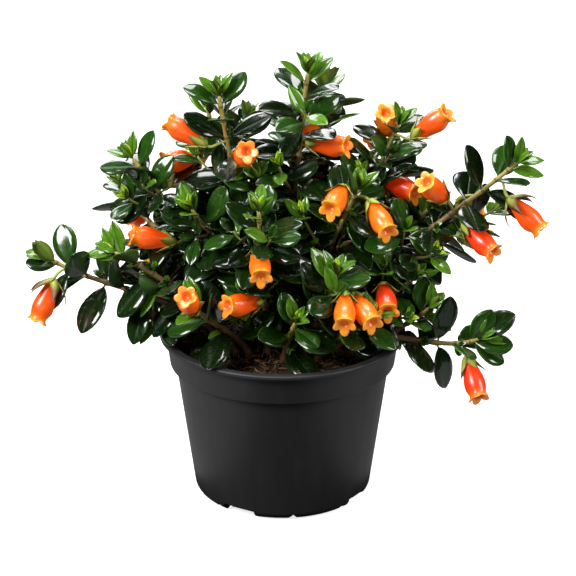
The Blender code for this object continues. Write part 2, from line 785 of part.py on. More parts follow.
def fuse(name, pieces, scratch, collection, material):
    """One closed body from the pieces of a mass, by one union on their collection."""
    first = pieces[0]
    scratch.objects.unlink(first)
    collection.objects.link(first)
    union = first.modifiers.new("join", "BOOLEAN")
    union.operation = "UNION"
    union.operand_type = "COLLECTION"
    union.collection = scratch
    union.solver = "EXACT"
    bpy.context.view_layer.update()
    depsgraph = bpy.context.evaluated_depsgraph_get()
    mesh = bpy.data.meshes.new_from_object(first.evaluated_get(depsgraph))
    largest_body(mesh)
    for piece in pieces:
        bpy.data.objects.remove(piece, do_unlink=True)
    mesh.name = name
    mesh.materials.clear()
    return add_object(name, mesh, collection, material)


def make_mass(shoot, own, collection, material):
    scratch = bpy.data.collections.new("pieces of " + shoot.name)
    bpy.context.scene.collection.children.link(scratch)
    pieces = [as_mesh(tube("axis", *own["axis"], TWIG_SIDES, scratch), scratch)]
    for twig in own["twigs"]:
        pieces.append(as_mesh(tube("twig", *twig, TWIG_SIDES, scratch), scratch))
    for bloom in own["blooms"]:
        pieces.append(as_mesh(tube("stalk", *bloom.stalk, TWIG_SIDES, scratch), scratch))
        pieces.append(body_object("bloom", flower_body(), bloom.frame, scratch))
    for leaf in own["leaves"]:
        pieces.append(body_object("leaf", leaf_body(leaf.length), leaf.frame, scratch))
    mass = fuse("foliage_" + shoot.name, pieces, scratch, collection, material)
    bpy.data.collections.remove(scratch)
    return mass


def make_limb(shoot, own, collection, material):
    places, radii = own["limb"]
    kind = "bough_" if shoot.parent else "stem_"
    if not shoot.parent:
        foot = places[0] - UP * FOOT_RISE
        places = [foot] + places
        radii = [radii[0] * FOOT_SWELL] + radii
    return tube(kind + shoot.name, places, radii, LIMB_SIDES, collection, material)


def main():
    clear_scene()
    plant = bpy.data.collections.new("potted goldfish plant")
    cutters = bpy.data.collections.new("cutters")
    bpy.context.scene.collection.children.link(plant)
    bpy.context.scene.collection.children.link(cutters)
    black = finish("pot plastic", (0.018, 0.018, 0.019), 0.42)
    soil = finish("potting soil", (0.052, 0.030, 0.017), 0.95)
    bark = finish("stem bark", (0.130, 0.085, 0.030), 0.60)
    green = finish("leaf green", (0.016, 0.060, 0.014), 0.28)
    make_pot(plant, cutters, black)
    make_soil(plant, soil)
    plants = grow()
    for shoot in SHOOTS:
        make_limb(shoot, plants[shoot.name], plant, bark)
        make_mass(shoot, plants[shoot.name], plant, green)


main()
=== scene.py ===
"""The looks of the potted goldfish plant.

The plant's shoots, leaves and flowers grow here by the same seeded rule as its solids, and
are then dressed: each leaf as a glossy arched blade, each flower as a pouch with five lobes
and its calyx, each stem with its bark, joints and scars. Small tufts grow on from the
leaf joints. Lengths are in metres.
"""

import json
import math
import random
from collections import defaultdict, namedtuple

import bmesh
import bpy
import numpy as np
from mathutils import Matrix, Vector, noise
from mathutils.bvhtree import BVHTree

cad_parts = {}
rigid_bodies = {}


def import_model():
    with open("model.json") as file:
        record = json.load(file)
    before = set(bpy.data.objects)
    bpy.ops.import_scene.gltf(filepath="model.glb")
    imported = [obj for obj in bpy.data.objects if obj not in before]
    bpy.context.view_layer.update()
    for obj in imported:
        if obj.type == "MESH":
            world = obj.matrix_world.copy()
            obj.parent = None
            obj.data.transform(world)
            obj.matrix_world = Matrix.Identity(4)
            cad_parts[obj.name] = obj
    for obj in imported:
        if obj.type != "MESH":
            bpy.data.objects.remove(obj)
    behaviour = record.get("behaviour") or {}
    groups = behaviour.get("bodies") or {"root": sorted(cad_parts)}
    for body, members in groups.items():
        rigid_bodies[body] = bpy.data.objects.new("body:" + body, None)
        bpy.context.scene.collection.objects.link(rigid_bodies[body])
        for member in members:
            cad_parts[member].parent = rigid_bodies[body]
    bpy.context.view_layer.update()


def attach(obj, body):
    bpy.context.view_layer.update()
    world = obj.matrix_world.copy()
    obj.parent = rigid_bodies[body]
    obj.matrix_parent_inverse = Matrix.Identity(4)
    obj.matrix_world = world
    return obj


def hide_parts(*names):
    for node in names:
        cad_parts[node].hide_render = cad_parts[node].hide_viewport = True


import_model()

MM = 0.001
UP = Vector((0.0, 0.0, 1.0))
RIGHT = Vector((1.0, 0.0, 0.0))
SEAT_GAP = 0.3 * MM

# Pot
POT_HEIGHT = 83.5 * MM
LIP_RADIUS = 60.0 * MM
LIP_THICKNESS = 2.0 * MM
COLLAR_TOP_RADIUS = 56.6 * MM
COLLAR_FOOT_RADIUS = 55.0 * MM
COLLAR_HEIGHT = 16.5 * MM
COLLAR_FALL = 0.4 * MM
MOUTH_FLARE = 0.6 * MM
WALL_TOP_RADIUS = 52.2 * MM
WALL_FOOT_RADIUS = 43.5 * MM
FOOT_RADIUS = 42.7 * MM
FOOT_ROUNDING = 4.5 * MM
WALL = 1.3 * MM
FLOOR = 6.2 * MM
POT_STEPS = 36
NOTCH_HEIGHT = 4.8 * MM
NOTCH_DEPTH = 7.0 * MM
NOTCHES = 4
NOTCH_WIDTH = 17.0 * MM
NOTCH_START = -120.0

# Potting soil
SOIL_TOP = 77.5 * MM
SOIL_EDGE_TOP = 76.0 * MM
SOIL_FLAT_RADIUS = 42.0 * MM

# Limbs
FOOT_GIRTH = 1.85 * MM
TIP_GIRTH = 1.0 * MM
SIDE_GIRTH = 1.4 * MM
FOOT_RISE = 1.5 * MM
FORK_LEAST = 0.35
LIMB_POINTS = 4
AXIS_POINTS = 5
LENGTH_STEPS = 24
HALVINGS = 18
# Least share of a stem between the start of its mass and the lowest leaf, twig or flower
LEAF_START = 0.03
FORK_START = 0.04
# A stem steeper than this has no level direction across it worth using
UPRIGHT = 0.05

# Leaves, from a shoot's tip down: how far below the tip each pair stands, how long its
# leaves are, and how far they lean out from the stem.
Rank = namedtuple("Rank", "below length lean")
RANKS = (
    Rank(1.0, 11.0, 16.0),
    Rank(5.0, 19.0, 46.0),
    Rank(12.5, 23.0, 58.0),
    Rank(21.5, 25.5, 68.0),
    Rank(31.0, 26.5, 78.0),
    Rank(41.0, 26.5, 86.0),
    Rank(51.5, 26.0, 92.0),
    Rank(62.0, 25.5, 95.0),
    Rank(72.5, 25.0, 98.0),
    Rank(83.0, 24.0, 100.0),
)
LEAF_WIDTH = 0.64
LEAF_WIDEST = 0.54
LEAF_CROWN = 0.020
LEAF_BELLY = 0.035
LEAF_SAG = 0.04
LEAF_DROOP = 0.10
LEAF_SEAT = 0.35 * MM
LEAF_CLEAR = 0.55 * MM
LEAF_TURNS = (0.0, 15.0, -15.0, 30.0, -30.0, 45.0, -45.0, 60.0, -60.0)
LEAF_TILTS = (0.0, -16.0, 14.0, -30.0, 26.0)
LEAST_LEAN = 14.0
SMALLER_LEAF = 0.8
LIGHT_PULL = 0.62
LEAF_STEEP = 0.2
FRONT_LIGHT = Vector((0.0, -0.62, 0.78))
BACK_LIGHT_LEAN = 0.7
ROLL_SPREAD = 9.0
LEAN_SPREAD = 7.0
SIZE_SPREAD = (0.92, 1.06)

# Side twigs
TWIG_GIRTH = 0.8 * MM
TWIG_LENGTH = 24.0 * MM
TWIG_LEAN = 52.0
TWIG_RISE = 0.18
TWIG_BEND = 0.8
TWIG_POINTS = 4
TWIG_TAPER = 0.24
TWIG_BARE = 0.12
TWIG_RANKS = (
    Rank(0.8, 9.0, 18.0),
    Rank(4.0, 15.0, 50.0),
    Rank(12.0, 18.5, 72.0),
)

# Flowers
FLOWER_LENGTH = 23.0 * MM
PEDICEL_GIRTH = 0.55 * MM
FLOWER_CLEAR = 0.5 * MM
FLOWER_SIDES = 6
# Rings of the flower from the calyx to the mouth: share of the length, radius, and how
# far the ring's centre lies towards the chin.
FlowerRing = namedtuple("FlowerRing", "share radius chin")
FLOWER_RINGS = (
    FlowerRing(0.16, 3.0 * MM, 0.0),
    FlowerRing(0.45, 4.6 * MM, 0.4 * MM),
    FlowerRing(0.72, 5.2 * MM, 0.7 * MM),
    FlowerRing(0.97, 5.2 * MM, 0.0),
)
FLOWER_THROAT = 0.90

# Shoots: where each one starts, the place of its tip in mm, how steeply the tip points
# (degrees above level), the share of it that is bare, the turn of its leaf pairs about
# the stem and the places of its side twigs (share, bearing about the stem). A shoot with
# no parent starts on the soil at foot = (x, y); a side shoot starts off its parent's
# limb at foot = (share along the parent, 0).
Shoot = namedtuple("Shoot", "name parent foot tip climb bare roll twigs")
SHOOTS = (
    Shoot("far_left", "", (-27, -13), (-113, -5.5, 122.5), 32, 0.33, 132, ()),
    Shoot("left", "", (-23, -19), (-80, -13, 128), 28, 0.34, 26, ()),
    Shoot("upper_left", "", (-15, -1), (-72, 13, 166.5), 54, 0.34, 19, ((0.71, 150),)),
    Shoot("top_left", "", (-9, 6), (-30, 6, 200), 82, 0.30, 0, ((0.6, 64),)),
    Shoot("inner_left", "top_left", (0.26, 0), (-43, -12, 149.5), 62, 0.20, 60, ((0.5, 30),)),
    Shoot("top_centre", "", (3, 10), (12, 15, 208.5), 82, 0.30, 10, ((0.53, 303),)),
    Shoot("right_top", "", (15, 10), (56, 25, 179.5), 67, 0.32, 21, ((0.58, 317),)),
    Shoot("mid_right", "", (10, -6), (36, -9, 158.5), 64, 0.28, 50, ((0.55, 300),)),
    Shoot("far_right", "", (24, 0), (111, -4.5, 170), 44, 0.34, 4, ((0.43, 30), (0.67, 116))),
    Shoot("right_upper", "right_top", (0.3, 0), (70.5, 9, 142), 52, 0.22, 111, ()),
    Shoot("right_low", "", (26, -14), (94.5, -27, 89.5), 30, 0.36, 3, ()),
    Shoot("right_low_side", "right_low", (0.4, 0), (70, -20.5, 102.5), 48, 0.12, 5, ()),
    Shoot("right_inner", "", (21, -8), (62, -16, 115.5), 52, 0.26, 25, ((0.55, 40),)),
    Shoot("centre_front", "", (-7, -17), (-11, -29, 154.5), 82, 0.24, 4, ((0.5, 240),)),
    Shoot("front_right", "", (11, -20), (25, -36, 125.5), 76, 0.24, 30, ((0.45, 120),)),
    Shoot("low_left_front", "", (-16, -22), (-42, -36, 109.5), 56, 0.22, 45, ()),
    Shoot("low_front", "", (1, -27), (6, -42, 103.5), 58, 0.22, 20, ()),
    Shoot("low_right_front", "", (17, -26), (41, -41, 105.5), 54, 0.20, 20, ()),
    Shoot("crown_middle", "", (-1, -4), (-12, -4, 161.5), 80, 0.26, 15, ((0.55, 300),)),
    Shoot("back_top_left", "", (-9, 15), (-36.5, 35.5, 185.5), 79, 0.32, 171, ((0.74, 325),)),
    Shoot("back_top_right", "", (8, 17), (21.5, 46.5, 193.5), 64, 0.32, 0, ((0.48, 56),)),
    Shoot("back_left", "", (-17, 13), (-79, 49, 139), 58, 0.32, 162, ((0.44, 34),)),
    Shoot("back_left_low", "back_left", (0.25, 0), (-69, 82.5, 94.5), 56, 0.22, 97, ()),
    Shoot("back_middle", "", (0, 22), (2, 71, 166), 88, 0.30, 98, ((0.56, 8),)),
    Shoot("back_right", "", (13, 18), (59, 66, 151), 75, 0.30, 7, ((0.52, 72),)),
    Shoot("back_right_low", "", (23, 11), (94.5, 53, 118.5), 17, 0.32, 113, ((0.4, 119),)),
    Shoot("back_low", "", (6, 27), (29.5, 96, 106.5), 45, 0.32, 54, ()),
)

# Flowers in view: the shoot, the share along it where the flower stalk leaves, the reach
# of the stalk in mm, the bearing (0 = +X, 90 = away from the front) and rise of the
# flower's own line, in degrees, its colouring, and whether its calyx is old and brown.
Flower = namedtuple("Flower", "shoot share stalk bearing rise kind old", defaults=("orange", False))
FLOWERS = (
    Flower("far_left", 0.89, (-6, -6, -3.5), -140, -60, "flame", True),
    Flower("upper_left", 0.60, (-5, -13.5, -2.5), -170, 15, "flame"),
    Flower("top_left", 0.81, (-10, -4, -0.5), 165, 30, "flame"),
    Flower("top_left", 0.75, (5, -10, 1.5), -80, 30, "mouth"),
    Flower("back_top_left", 0.78, (-9, -5, 1), -140, 5),
    Flower("top_centre", 0.75, (2.5, -6.5, 0), -25, 5, "flame"),
    Flower("back_top_right", 0.66, (-6, 4, 4.5), -50, 70),
    Flower("right_top", 0.95, (8.5, -8, 1.5), -15, 40, "flame"),
    Flower("right_top", 0.92, (-1.5, 15, -0.5), -95, 45),
    Flower("right_top", 0.90, (-1, 14, -7), 105, 0),
    Flower("right_top", 0.72, (5.5, 2, 1), -45, -5, "red"),
    Flower("far_right", 0.70, (-4, -6, 8), -130, 40, "flame"),
    Flower("far_right", 0.92, (4, -3.5, -9.5), -20, -40, "flame", True),
    Flower("far_right", 0.74, (0, -9.5, -6), -45, -25, "red"),
    Flower("far_right", 0.80, (-6.5, 12, -7), 60, -30),
    Flower("mid_right", 0.96, (-5, -6, 6), -110, -10),
    Flower("mid_right", 0.95, (7, -6, 0), -65, -25),
    Flower("centre_front", 0.74, (-1.5, -6, 3), -85, -20),
    Flower("centre_front", 0.47, (-1, -9, -5), -140, 10, "flame"),
    Flower("front_right", 0.75, (7.5, -8, 4.5), -92, -22),
    Flower("front_right", 0.90, (9.5, -1, -5), -65, -20),
    Flower("right_inner", 0.77, (-5, -8, 8.5), -85, -15, "red"),
    Flower("low_left_front", 0.82, (-4, -6, 5), -100, 40, "mouth"),
    Flower("right_low", 0.82, (5.5, -7.5, -3.5), -70, -45, "red"),
)
# Old calyces whose flower has dropped
SPENT_FLOWERS = (
    Flower("far_left", 0.46, (0, -3, -6), -90, -75),
    Flower("upper_left", 0.80, (5, -2, 4), -20, 65),
    Flower("mid_right", 0.60, (4, -5, 2), -40, 20),
    Flower("back_right", 0.70, (6, 4, 0), 40, -10),
)
SPENT_SIZE = 0.62

# Flowers on the shoots at the back, out of view from the front
BACK_FROM = 30.0
BACK_FLOWER_SHARES = (0.66, 0.84)
BACK_STALK = 9.5
BACK_TURN = 0.4
BACK_BEARING_SPREAD = 25.0
BACK_STALK_RISE = (-20.0, 15.0)
BACK_FLOWER_RISE = (-70.0, -10.0)
BACK_KINDS = ("orange", "flame", "red")

SEED = 7

# Camera and light, as in the photograph
CAMERA_PLACE = (0.0027, -1.148, 0.5591)
CAMERA_PITCH = 21.6
CAMERA_LENS = 159.0
CAMERA_SENSOR = 36.0
CAMERA_CLIP = 0.01
FLOOR_SIZE = 6.0
FLOOR_GLOW = 0.78
SURROUND = 0.005
STUDIO_MIDDLE = (0.0, 0.0, 0.11)
BOXES = (
    ("key_box", (-0.85, -0.60, 0.95), (0.62, 0.50), 28.0),
    ("right_box", (0.95, -0.40, 0.75), (0.40, 0.60), 11.0),
    ("top_box", (0.0, 0.15, 1.20), (0.7, 0.40), 14.0),
    ("back_box", (-0.30, 1.00, 0.80), (1.0, 0.5), 11.0),
    ("front_box", (0.0, -1.4, 0.40), (1.0, 0.4), 2.5),
)
# Low cards beside the pot: they stand for the light that comes back off a white table
CARDS = (
    ("left_card", (-0.21, 0.01, 0.003), (0.32, 0.56), 0.26),
    ("right_card", (0.21, 0.03, 0.003), (0.32, 0.50), 0.20),
)

# Fine leaf, in shares of its length
LEAF_STATIONS = (0.0, 0.09, 0.16, 0.26, 0.38, 0.51, 0.64, 0.76, 0.86, 0.94, 0.985, 1.0)
LEAF_COLUMNS = (-1.0, -0.86, -0.45, 0.0, 0.45, 0.86, 1.0)
LEAF_RELIEF = (-0.17, -0.03, 0.06, -0.05, 0.06, -0.03, -0.17)
PETIOLE = 0.09
PETIOLE_HALF = 0.024
LEAF_THICK = 0.040
LEAF_SWELL = 2.4 * MM
LEAF_PUFF = 0.85
# A leaf's own map holds its upper side in one strip and its underside in another
LEAF_TOP_MIDDLE = 0.30
LEAF_TOP_HALF = 0.27
LEAF_TOP_END = 0.60
LEAF_UNDER_MIDDLE = 0.80
LEAF_UNDER_HALF = 0.18
# How far a leaf arches and cups, half its width, and how blunt its base and its tip are
LeafForm = namedtuple("LeafForm", "arch cup half base tip")
GROWN_FORMS = (
    LeafForm(0.12, 0.10, 0.275, 0.82, 0.70),
    LeafForm(0.22, 0.20, 0.260, 0.95, 0.66),
    LeafForm(0.03, 0.02, 0.285, 0.88, 0.64),
)
YOUNG_FORMS = (
    LeafForm(0.05, 0.28, 0.205, 0.74, 0.86),
    LeafForm(0.18, 0.14, 0.220, 0.78, 0.80),
)

# Fine flower: rings from the calyx to the mouth, and back down the throat. Each row gives
# the share of the length, then the radius, the fall to the chin and the reach of the lobes
# outwards in mm, and their reach forwards as a share of the length.
PETAL_RINGS = (
    (0.02, 1.6, 0.0, 0.0, 0.0),
    (0.08, 2.3, 0.0, 0.0, 0.0),
    (0.16, 2.9, 0.0, 0.0, 0.0),
    (0.27, 3.6, 0.1, 0.0, 0.0),
    (0.38, 4.2, 0.3, 0.0, 0.0),
    (0.49, 4.8, 0.5, 0.0, 0.0),
    (0.60, 5.1, 0.8, 0.0, 0.0),
    (0.70, 5.0, 0.9, 0.0, 0.0),
    (0.78, 4.5, 0.6, 0.05, 0.0),
    (0.84, 4.0, 0.3, 0.2, 0.0),
    (0.88, 3.85, 0.0, 0.6, 0.016),
    (0.905, 3.95, 0.0, 1.2, 0.042),
    (0.918, 4.05, 0.0, 1.75, 0.066),
    (0.922, 3.85, 0.0, 1.7, 0.068),
    (0.922, 3.5, 0.0, 1.1, 0.044),
    (0.920, 3.0, 0.0, 0.5, 0.020),
    (0.916, 2.5, 0.0, 0.1, 0.004),
    (0.900, 2.1, 0.0, 0.0, 0.0),
    (0.84, 1.7, 0.0, 0.0, 0.0),
)
MOUTH_RING = 13
# Where the mouth lies on the flower's own map, and how deep the throat goes
MOUTH_MARK = 0.80
THROAT_END = 0.80
PETAL_SIDES = 30
LOBES = 5
UPPER_LOBES = 0.72
LOWER_LOBE = 0.45
LOWER_LOBE_NARROW = 6

# Calyx, in mm: stations along a sepal, its distance from the flower's line, and its half width
SEPAL_STATIONS = (
    (-0.8, 0.6, 1.0),
    (0.6, 2.2, 2.0),
    (2.4, 3.3, 2.5),
    (4.4, 4.2, 2.3),
    (6.2, 5.1, 1.6),
    (7.8, 6.1, 0.9),
    (9.2, 7.0, 0.08),
)
OLD_SEPAL_STATIONS = (
    (-0.8, 0.6, 1.0),
    (0.4, 2.3, 2.1),
    (1.8, 4.2, 2.7),
    (3.4, 6.4, 2.5),
    (5.4, 8.2, 1.8),
    (7.8, 9.4, 0.9),
    (10.0, 9.8, 0.08),
)
SEPAL_THICK = 0.35 * MM
SEPAL_FOLD = 0.35
SEPALS = 5
SEPAL_BROWNED = 0.66
OLD_SEPAL_BROWNED = 0.22

# How the flower stalks bend: up from their stem, and then into the flower's own line
STALK_LIFT = 0.4
STALK_REACH = 0.4
STALK_ENTRY = 0.35

# Stems
RING_GAP = 1.2 * MM
STEM_SIDES = 10
TWIG_RING_GAP = 1.6 * MM
FINE_SIDES = 8
STEM_FINE = 0.96
STEM_END = 0.6
FOOT_FLARE = 1.12
FORK_FLARE = 1.2
FORK_REACH = 1.4
JOINT_SWELL = 0.30
JOINT_SPAN = 1.1 * MM
JOINT_GAP = 10.5 * MM
BARK_RELIEF = 0.07
BARK_GRAIN = 900.0
SOIL_DIP = 3.0 * MM
# Bark lies in the map up to this share of its width, and the leaf joints beyond it
JOINT_STRIP = 0.86

# Tufts that grow on from the leaf joints
TUFT_CHANCE = 0.5
TUFT_BELOW = 26.0
TUFT_FROM = 0.8
TUFT_TURN = 25.0
TUFT_SIZES = (0.7, 1.2)
TUFT_LENGTH = 9.0 * MM
TUFT_GIRTH = 0.42 * MM
TUFT_CLEAR = 0.25 * MM
TUFT_RANKS = (
    Rank(1.5, 6.5, 16.0),
    Rank(2.5, 10.5, 44.0),
    Rank(5.0, 13.5, 66.0),
)

# The young leaves right at a twig's tip and at a shoot's tip, each pair turned on a step
BUD_RANKS = (Rank(0.1, 7.5, 24.0), Rank(0.0, 5.5, 10.0))
BUD_TURN = 90.0
ROSETTE_RANKS = (
    Rank(1.0, 13.0, 34.0),
    Rank(0.5, 10.0, 24.0),
    Rank(0.1, 8.0, 16.0),
    Rank(0.0, 5.5, 8.0),
)
ROSETTE_TURN = 62.0

# Broad leaves at the end of some low shoots: length in mm, bearing and rise in degrees
EndLeaf = namedtuple("EndLeaf", "shoot share length bearing rise")
END_LEAVES = (
    EndLeaf("far_left", 0.93, 16.0, 188.0, 10.0),
    EndLeaf("right_low", 0.94, 24.0, -4.0, 38.0),
    EndLeaf("right_low", 0.93, 20.0, -14.0, 2.0),
)
END_BELOW = 10.0

# Small leaves in the angles of the older pairs
AXIL_CHANCE = 0.35
AXIL_BELOW = (11.0, 80.0)
AXIL_FROM = 0.7
AXIL_LEAN_SPREAD = 8.0
AXIL_TONE = 2.0
AXIL_RANKS = (Rank(0.0, 6.5, 30.0), Rank(0.0, 4.0, 16.0))

# Twigs that fill the crown, how near its middle they and the tufts keep, and how far from
# a flower's middle they stay in the view from the front
INNER_RADIUS = 62.0 * MM
INNER_HEIGHT = 96.0 * MM
INNER_FRONT = -20.0 * MM
INNER_FRONT_RISE = 14.0 * MM
BLOOM_FRONT = 22.0 * MM
BLOOM_VIEW = 14.0 * MM
BLOOM_MIDDLE = 0.6
FILL_FROM = 0.16
FILL_TO = 0.80
FILL_GAP = 7.0 * MM
FILL_TRIES = 4
FILL_LENGTHS = (9.0 * MM, 19.0 * MM)
FILL_RANKS = (
    Rank(1.5, 9.0, 18.0),
    Rank(3.0, 16.0, 52.0),
    Rank(8.0, 20.0, 72.0),
    Rank(14.0, 21.0, 84.0),
)

# Tones of the leaves: how far below a tip, in mm, each tone ends, and how often a leaf just
# under the tip is still a fresh one. The older leaves lower down are darker, partly by their
# own age and partly as painted shade of the crown's inside.
TONE_ENDS = (0.15, 1.5, 5.5, 14.0)
FRESH_CHANCE = 0.40
YOUNG_TONES = ("fresh", "tip")

# The colours of a leaf's blade, rim, veins and underside, and the roughness of its blade.
# The rim colour is partly the margin's own paler green and partly a painted highlight of its
# rolled edge.
LeafLook = namedtuple("LeafLook", "blade rim vein under roughness")
LEAF_LOOKS = {
    # The near-black blades of the dark and deep tones are partly the older leaves' own colour and
    # partly painted shade.
    "deep": LeafLook(
        blade=(0.0016, 0.0064, 0.0005), rim=(0.022, 0.070, 0.010),
        vein=(0.014, 0.038, 0.006), under=(0.020, 0.048, 0.010), roughness=0.26,
    ),
    "dark": LeafLook(
        blade=(0.0034, 0.0145, 0.0012), rim=(0.036, 0.115, 0.014),
        vein=(0.024, 0.070, 0.009), under=(0.032, 0.078, 0.015), roughness=0.26,
    ),
    "green": LeafLook(
        blade=(0.0095, 0.0380, 0.0022), rim=(0.062, 0.190, 0.022),
        vein=(0.052, 0.135, 0.014), under=(0.060, 0.110, 0.022), roughness=0.26,
    ),
    "fresh": LeafLook(
        blade=(0.0520, 0.1400, 0.0065), rim=(0.160, 0.300, 0.018),
        vein=(0.210, 0.350, 0.025), under=(0.150, 0.240, 0.030), roughness=0.28,
    ),
    "tip": LeafLook(
        blade=(0.2400, 0.3800, 0.0130), rim=(0.420, 0.520, 0.030),
        vein=(0.450, 0.540, 0.040), under=(0.280, 0.370, 0.040), roughness=0.32,
    ),
}

# The colours of a flower from its calyx to its lips, and of its throat
PetalLook = namedtuple("PetalLook", "base body lobe lip throat")
PETAL_LOOKS = {
    "orange": PetalLook(
        base=(0.78, 0.085, 0.002), body=(0.84, 0.150, 0.003), lobe=(0.85, 0.245, 0.010),
        lip=(0.88, 0.310, 0.025), throat=(0.72, 0.140, 0.004),
    ),
    "flame": PetalLook(
        base=(0.75, 0.048, 0.002), body=(0.82, 0.085, 0.002), lobe=(0.86, 0.215, 0.008),
        lip=(0.88, 0.300, 0.025), throat=(0.68, 0.100, 0.004),
    ),
    "red": PetalLook(
        base=(0.64, 0.018, 0.002), body=(0.78, 0.038, 0.002), lobe=(0.84, 0.135, 0.006),
        lip=(0.88, 0.270, 0.020), throat=(0.56, 0.060, 0.004),
    ),
    "mouth": PetalLook(
        base=(0.75, 0.048, 0.002), body=(0.82, 0.085, 0.002), lobe=(0.84, 0.190, 0.008),
        lip=(0.84, 0.215, 0.012), throat=(0.68, 0.085, 0.004),
    ),
}

# The colours of a stem from its foot to its tip, and of its leaf joints
BarkLook = namedtuple("BarkLook", "foot middle tip joint")
STEM_LOOK = BarkLook(
    foot=(0.080, 0.036, 0.016), middle=(0.20, 0.110, 0.032),
    tip=(0.32, 0.26, 0.050), joint=(0.060, 0.020, 0.010),
)
TWIG_LOOK = BarkLook(
    foot=(0.13, 0.09, 0.03), middle=(0.22, 0.19, 0.055),
    tip=(0.26, 0.32, 0.075), joint=(0.10, 0.05, 0.02),
)

# Loose soil, and the colours of its peat, of the fibre in it and of its damp clods. The fibre's
# tan is its own colour made paler, a painted light that makes up for the shade under the leaves.
CRUMBS = 1500
CRUMB_KINDS = 4
CRUMB_SIZES = (0.5 * MM, 1.5 * MM)
CRUMB_EDGE = 1.5 * MM
SLIVERS = 560
SLIVER_LENGTHS = (2.0 * MM, 5.5 * MM)
SLIVER_RISE = (-12, 22)
SLIVER_EDGE = 4.0 * MM
SLIVER_LIFT = 0.5 * MM
SLIVER_STATIONS = (0.0, 0.25, 0.6, 1.0)
SLIVER_HALF = 0.075
SLIVER_BEND = 0.16
SOIL_DEPTH = 9.0 * MM
SOIL_RINGS = 34
SOIL_SIDES = 96
SOIL_RELIEF = 1.3 * MM
SOIL_CLODS = 140.0
SOIL_GRAIN = 700.0
SoilLook = namedtuple("SoilLook", "dark light wet")
SOIL_LOOK = SoilLook((0.014, 0.008, 0.005), (0.21, 0.115, 0.045), (0.045, 0.024, 0.012))
CRUMB_LOOK = SoilLook((0.016, 0.009, 0.005), (0.26, 0.140, 0.050), (0.08, 0.042, 0.018))
# The fibre's colours are partly painted light: paler than its own, against the shade of the leaves.
FIBRE_LOOK = SoilLook((0.12, 0.058, 0.022), (0.66, 0.39, 0.16), (0.36, 0.185, 0.070))

# Fine pot
POT_SIDES = 180
FOOT_STEPS = 8
EDGE_ROUNDING = 0.55 * MM
EDGE_ANGLE = math.radians(32.0)
SMOOTH_ANGLE = math.radians(35.0)
V_NOTCH_TURNS = (-16.5, 37.0)
V_NOTCH_WIDTH = 5.5 * MM
V_NOTCH_HEIGHT = 3.4 * MM


def in_mm(values):
    """A place in metres from one in millimetres."""
    return Vector(values) * MM


def bezier(path, share):
    """The place and the direction of a limb's line at a share of its length."""
    start, out, back, tip = path
    rest = 1.0 - share
    place = start * rest**3 + out * 3 * rest**2 * share + back * 3 * rest * share**2 + tip * share**3
    along = (out - start) * rest**2 + (back - out) * 2 * rest * share + (tip - back) * share**2
    return place, along.normalized()


def girth(shoot, share):
    """The radius of a shoot's stem at a share of its length."""
    foot = SIDE_GIRTH if shoot.parent else FOOT_GIRTH
    return foot + (TIP_GIRTH - foot) * share


def shoot_path(shoot, shoots, paths):
    """The four control places of a shoot's line, clear of the limb that it forks off."""
    tip = in_mm(shoot.tip)
    if shoot.parent:
        parent = shoots[shoot.parent]
        fork, along = bezier(paths[shoot.parent], shoot.foot[0])
        leave = (tip - fork).normalized()
        across = max(FORK_LEAST, leave.cross(along).length)
        needed = girth(parent, shoot.foot[0]) + SEAT_GAP + SIDE_GIRTH * abs(leave.dot(along))
        start = fork + leave * (needed / across)
    else:
        start = Vector((shoot.foot[0] * MM, shoot.foot[1] * MM, SOIL_TOP + SEAT_GAP + FOOT_RISE))
        leave = ((tip - start).normalized() + UP).normalized()
    span = (tip - start).length
    level = Vector((tip.x - start.x, tip.y - start.y, 0.0)).normalized()
    climb = math.radians(shoot.climb)
    arrive = level * math.cos(climb) + UP * math.sin(climb)
    return start, start + leave * (span / 3.0), tip - arrive * (span / 3.0), tip


def path_length(path, first=0.0, last=1.0):
    """The length of a path between two shares of it."""
    shares = [first + (last - first) * k / LENGTH_STEPS for k in range(LENGTH_STEPS + 1)]
    places = [bezier(path, share)[0] for share in shares]
    return sum((b - a).length for a, b in zip(places, places[1:]))


def share_below_tip(path, below):
    """The share of a path that lies a given distance back from its tip."""
    low, high = 0.0, 1.0
    for _ in range(HALVINGS):
        middle = (low + high) / 2.0
        if path_length(path, middle, 1.0) > below:
            low = middle
        else:
            high = middle
    return low


def leaf_body(length, clear=0.0):
    """A leaf of eight faces along +X with its upper side to +Z."""
    body = bmesh.new()
    bmesh.ops.create_uvsphere(body, u_segments=4, v_segments=2, radius=1.0)
    half = LEAF_WIDTH * length / 2.0 + clear
    for corner in body.verts:
        x, y, z = corner.co
        if x < -0.5:
            corner.co = (0.0, 0.0, 0.0)
        elif x > 0.5:
            corner.co = (length + clear, 0.0, -LEAF_DROOP * length)
        elif abs(y) > 0.5:
            corner.co = (LEAF_WIDEST * length, math.copysign(half, y), -LEAF_SAG * length)
        elif z > 0.0:
            corner.co = (LEAF_WIDEST * length, 0.0, LEAF_CROWN * length + clear)
        else:
            corner.co = (LEAF_WIDEST * length, 0.0, -LEAF_BELLY * length - clear)
    return body


def flower_body(clear=0.0):
    """A pouch flower along +X with its chin to -Z."""
    body = bmesh.new()
    count = len(FLOWER_RINGS) + 1
    bmesh.ops.create_uvsphere(body, u_segments=FLOWER_SIDES, v_segments=count, radius=1.0)
    for corner in body.verts:
        polar = math.acos(max(-1.0, min(1.0, corner.co.z)))
        index = round(polar / math.pi * count)
        if index == 0:
            corner.co = (-clear, 0.0, 0.0)
        elif index == count:
            corner.co = (FLOWER_THROAT * FLOWER_LENGTH + clear, 0.0, -FLOWER_RINGS[-1].chin)
        else:
            ring = FLOWER_RINGS[index - 1]
            turn = math.atan2(corner.co.y, corner.co.x)
            radius = ring.radius + clear
            across = radius * math.sin(turn)
            down = radius * math.cos(turn) + ring.chin
            corner.co = (ring.share * FLOWER_LENGTH, across, -down)
    bmesh.ops.recalc_face_normals(body, faces=body.faces)
    return body


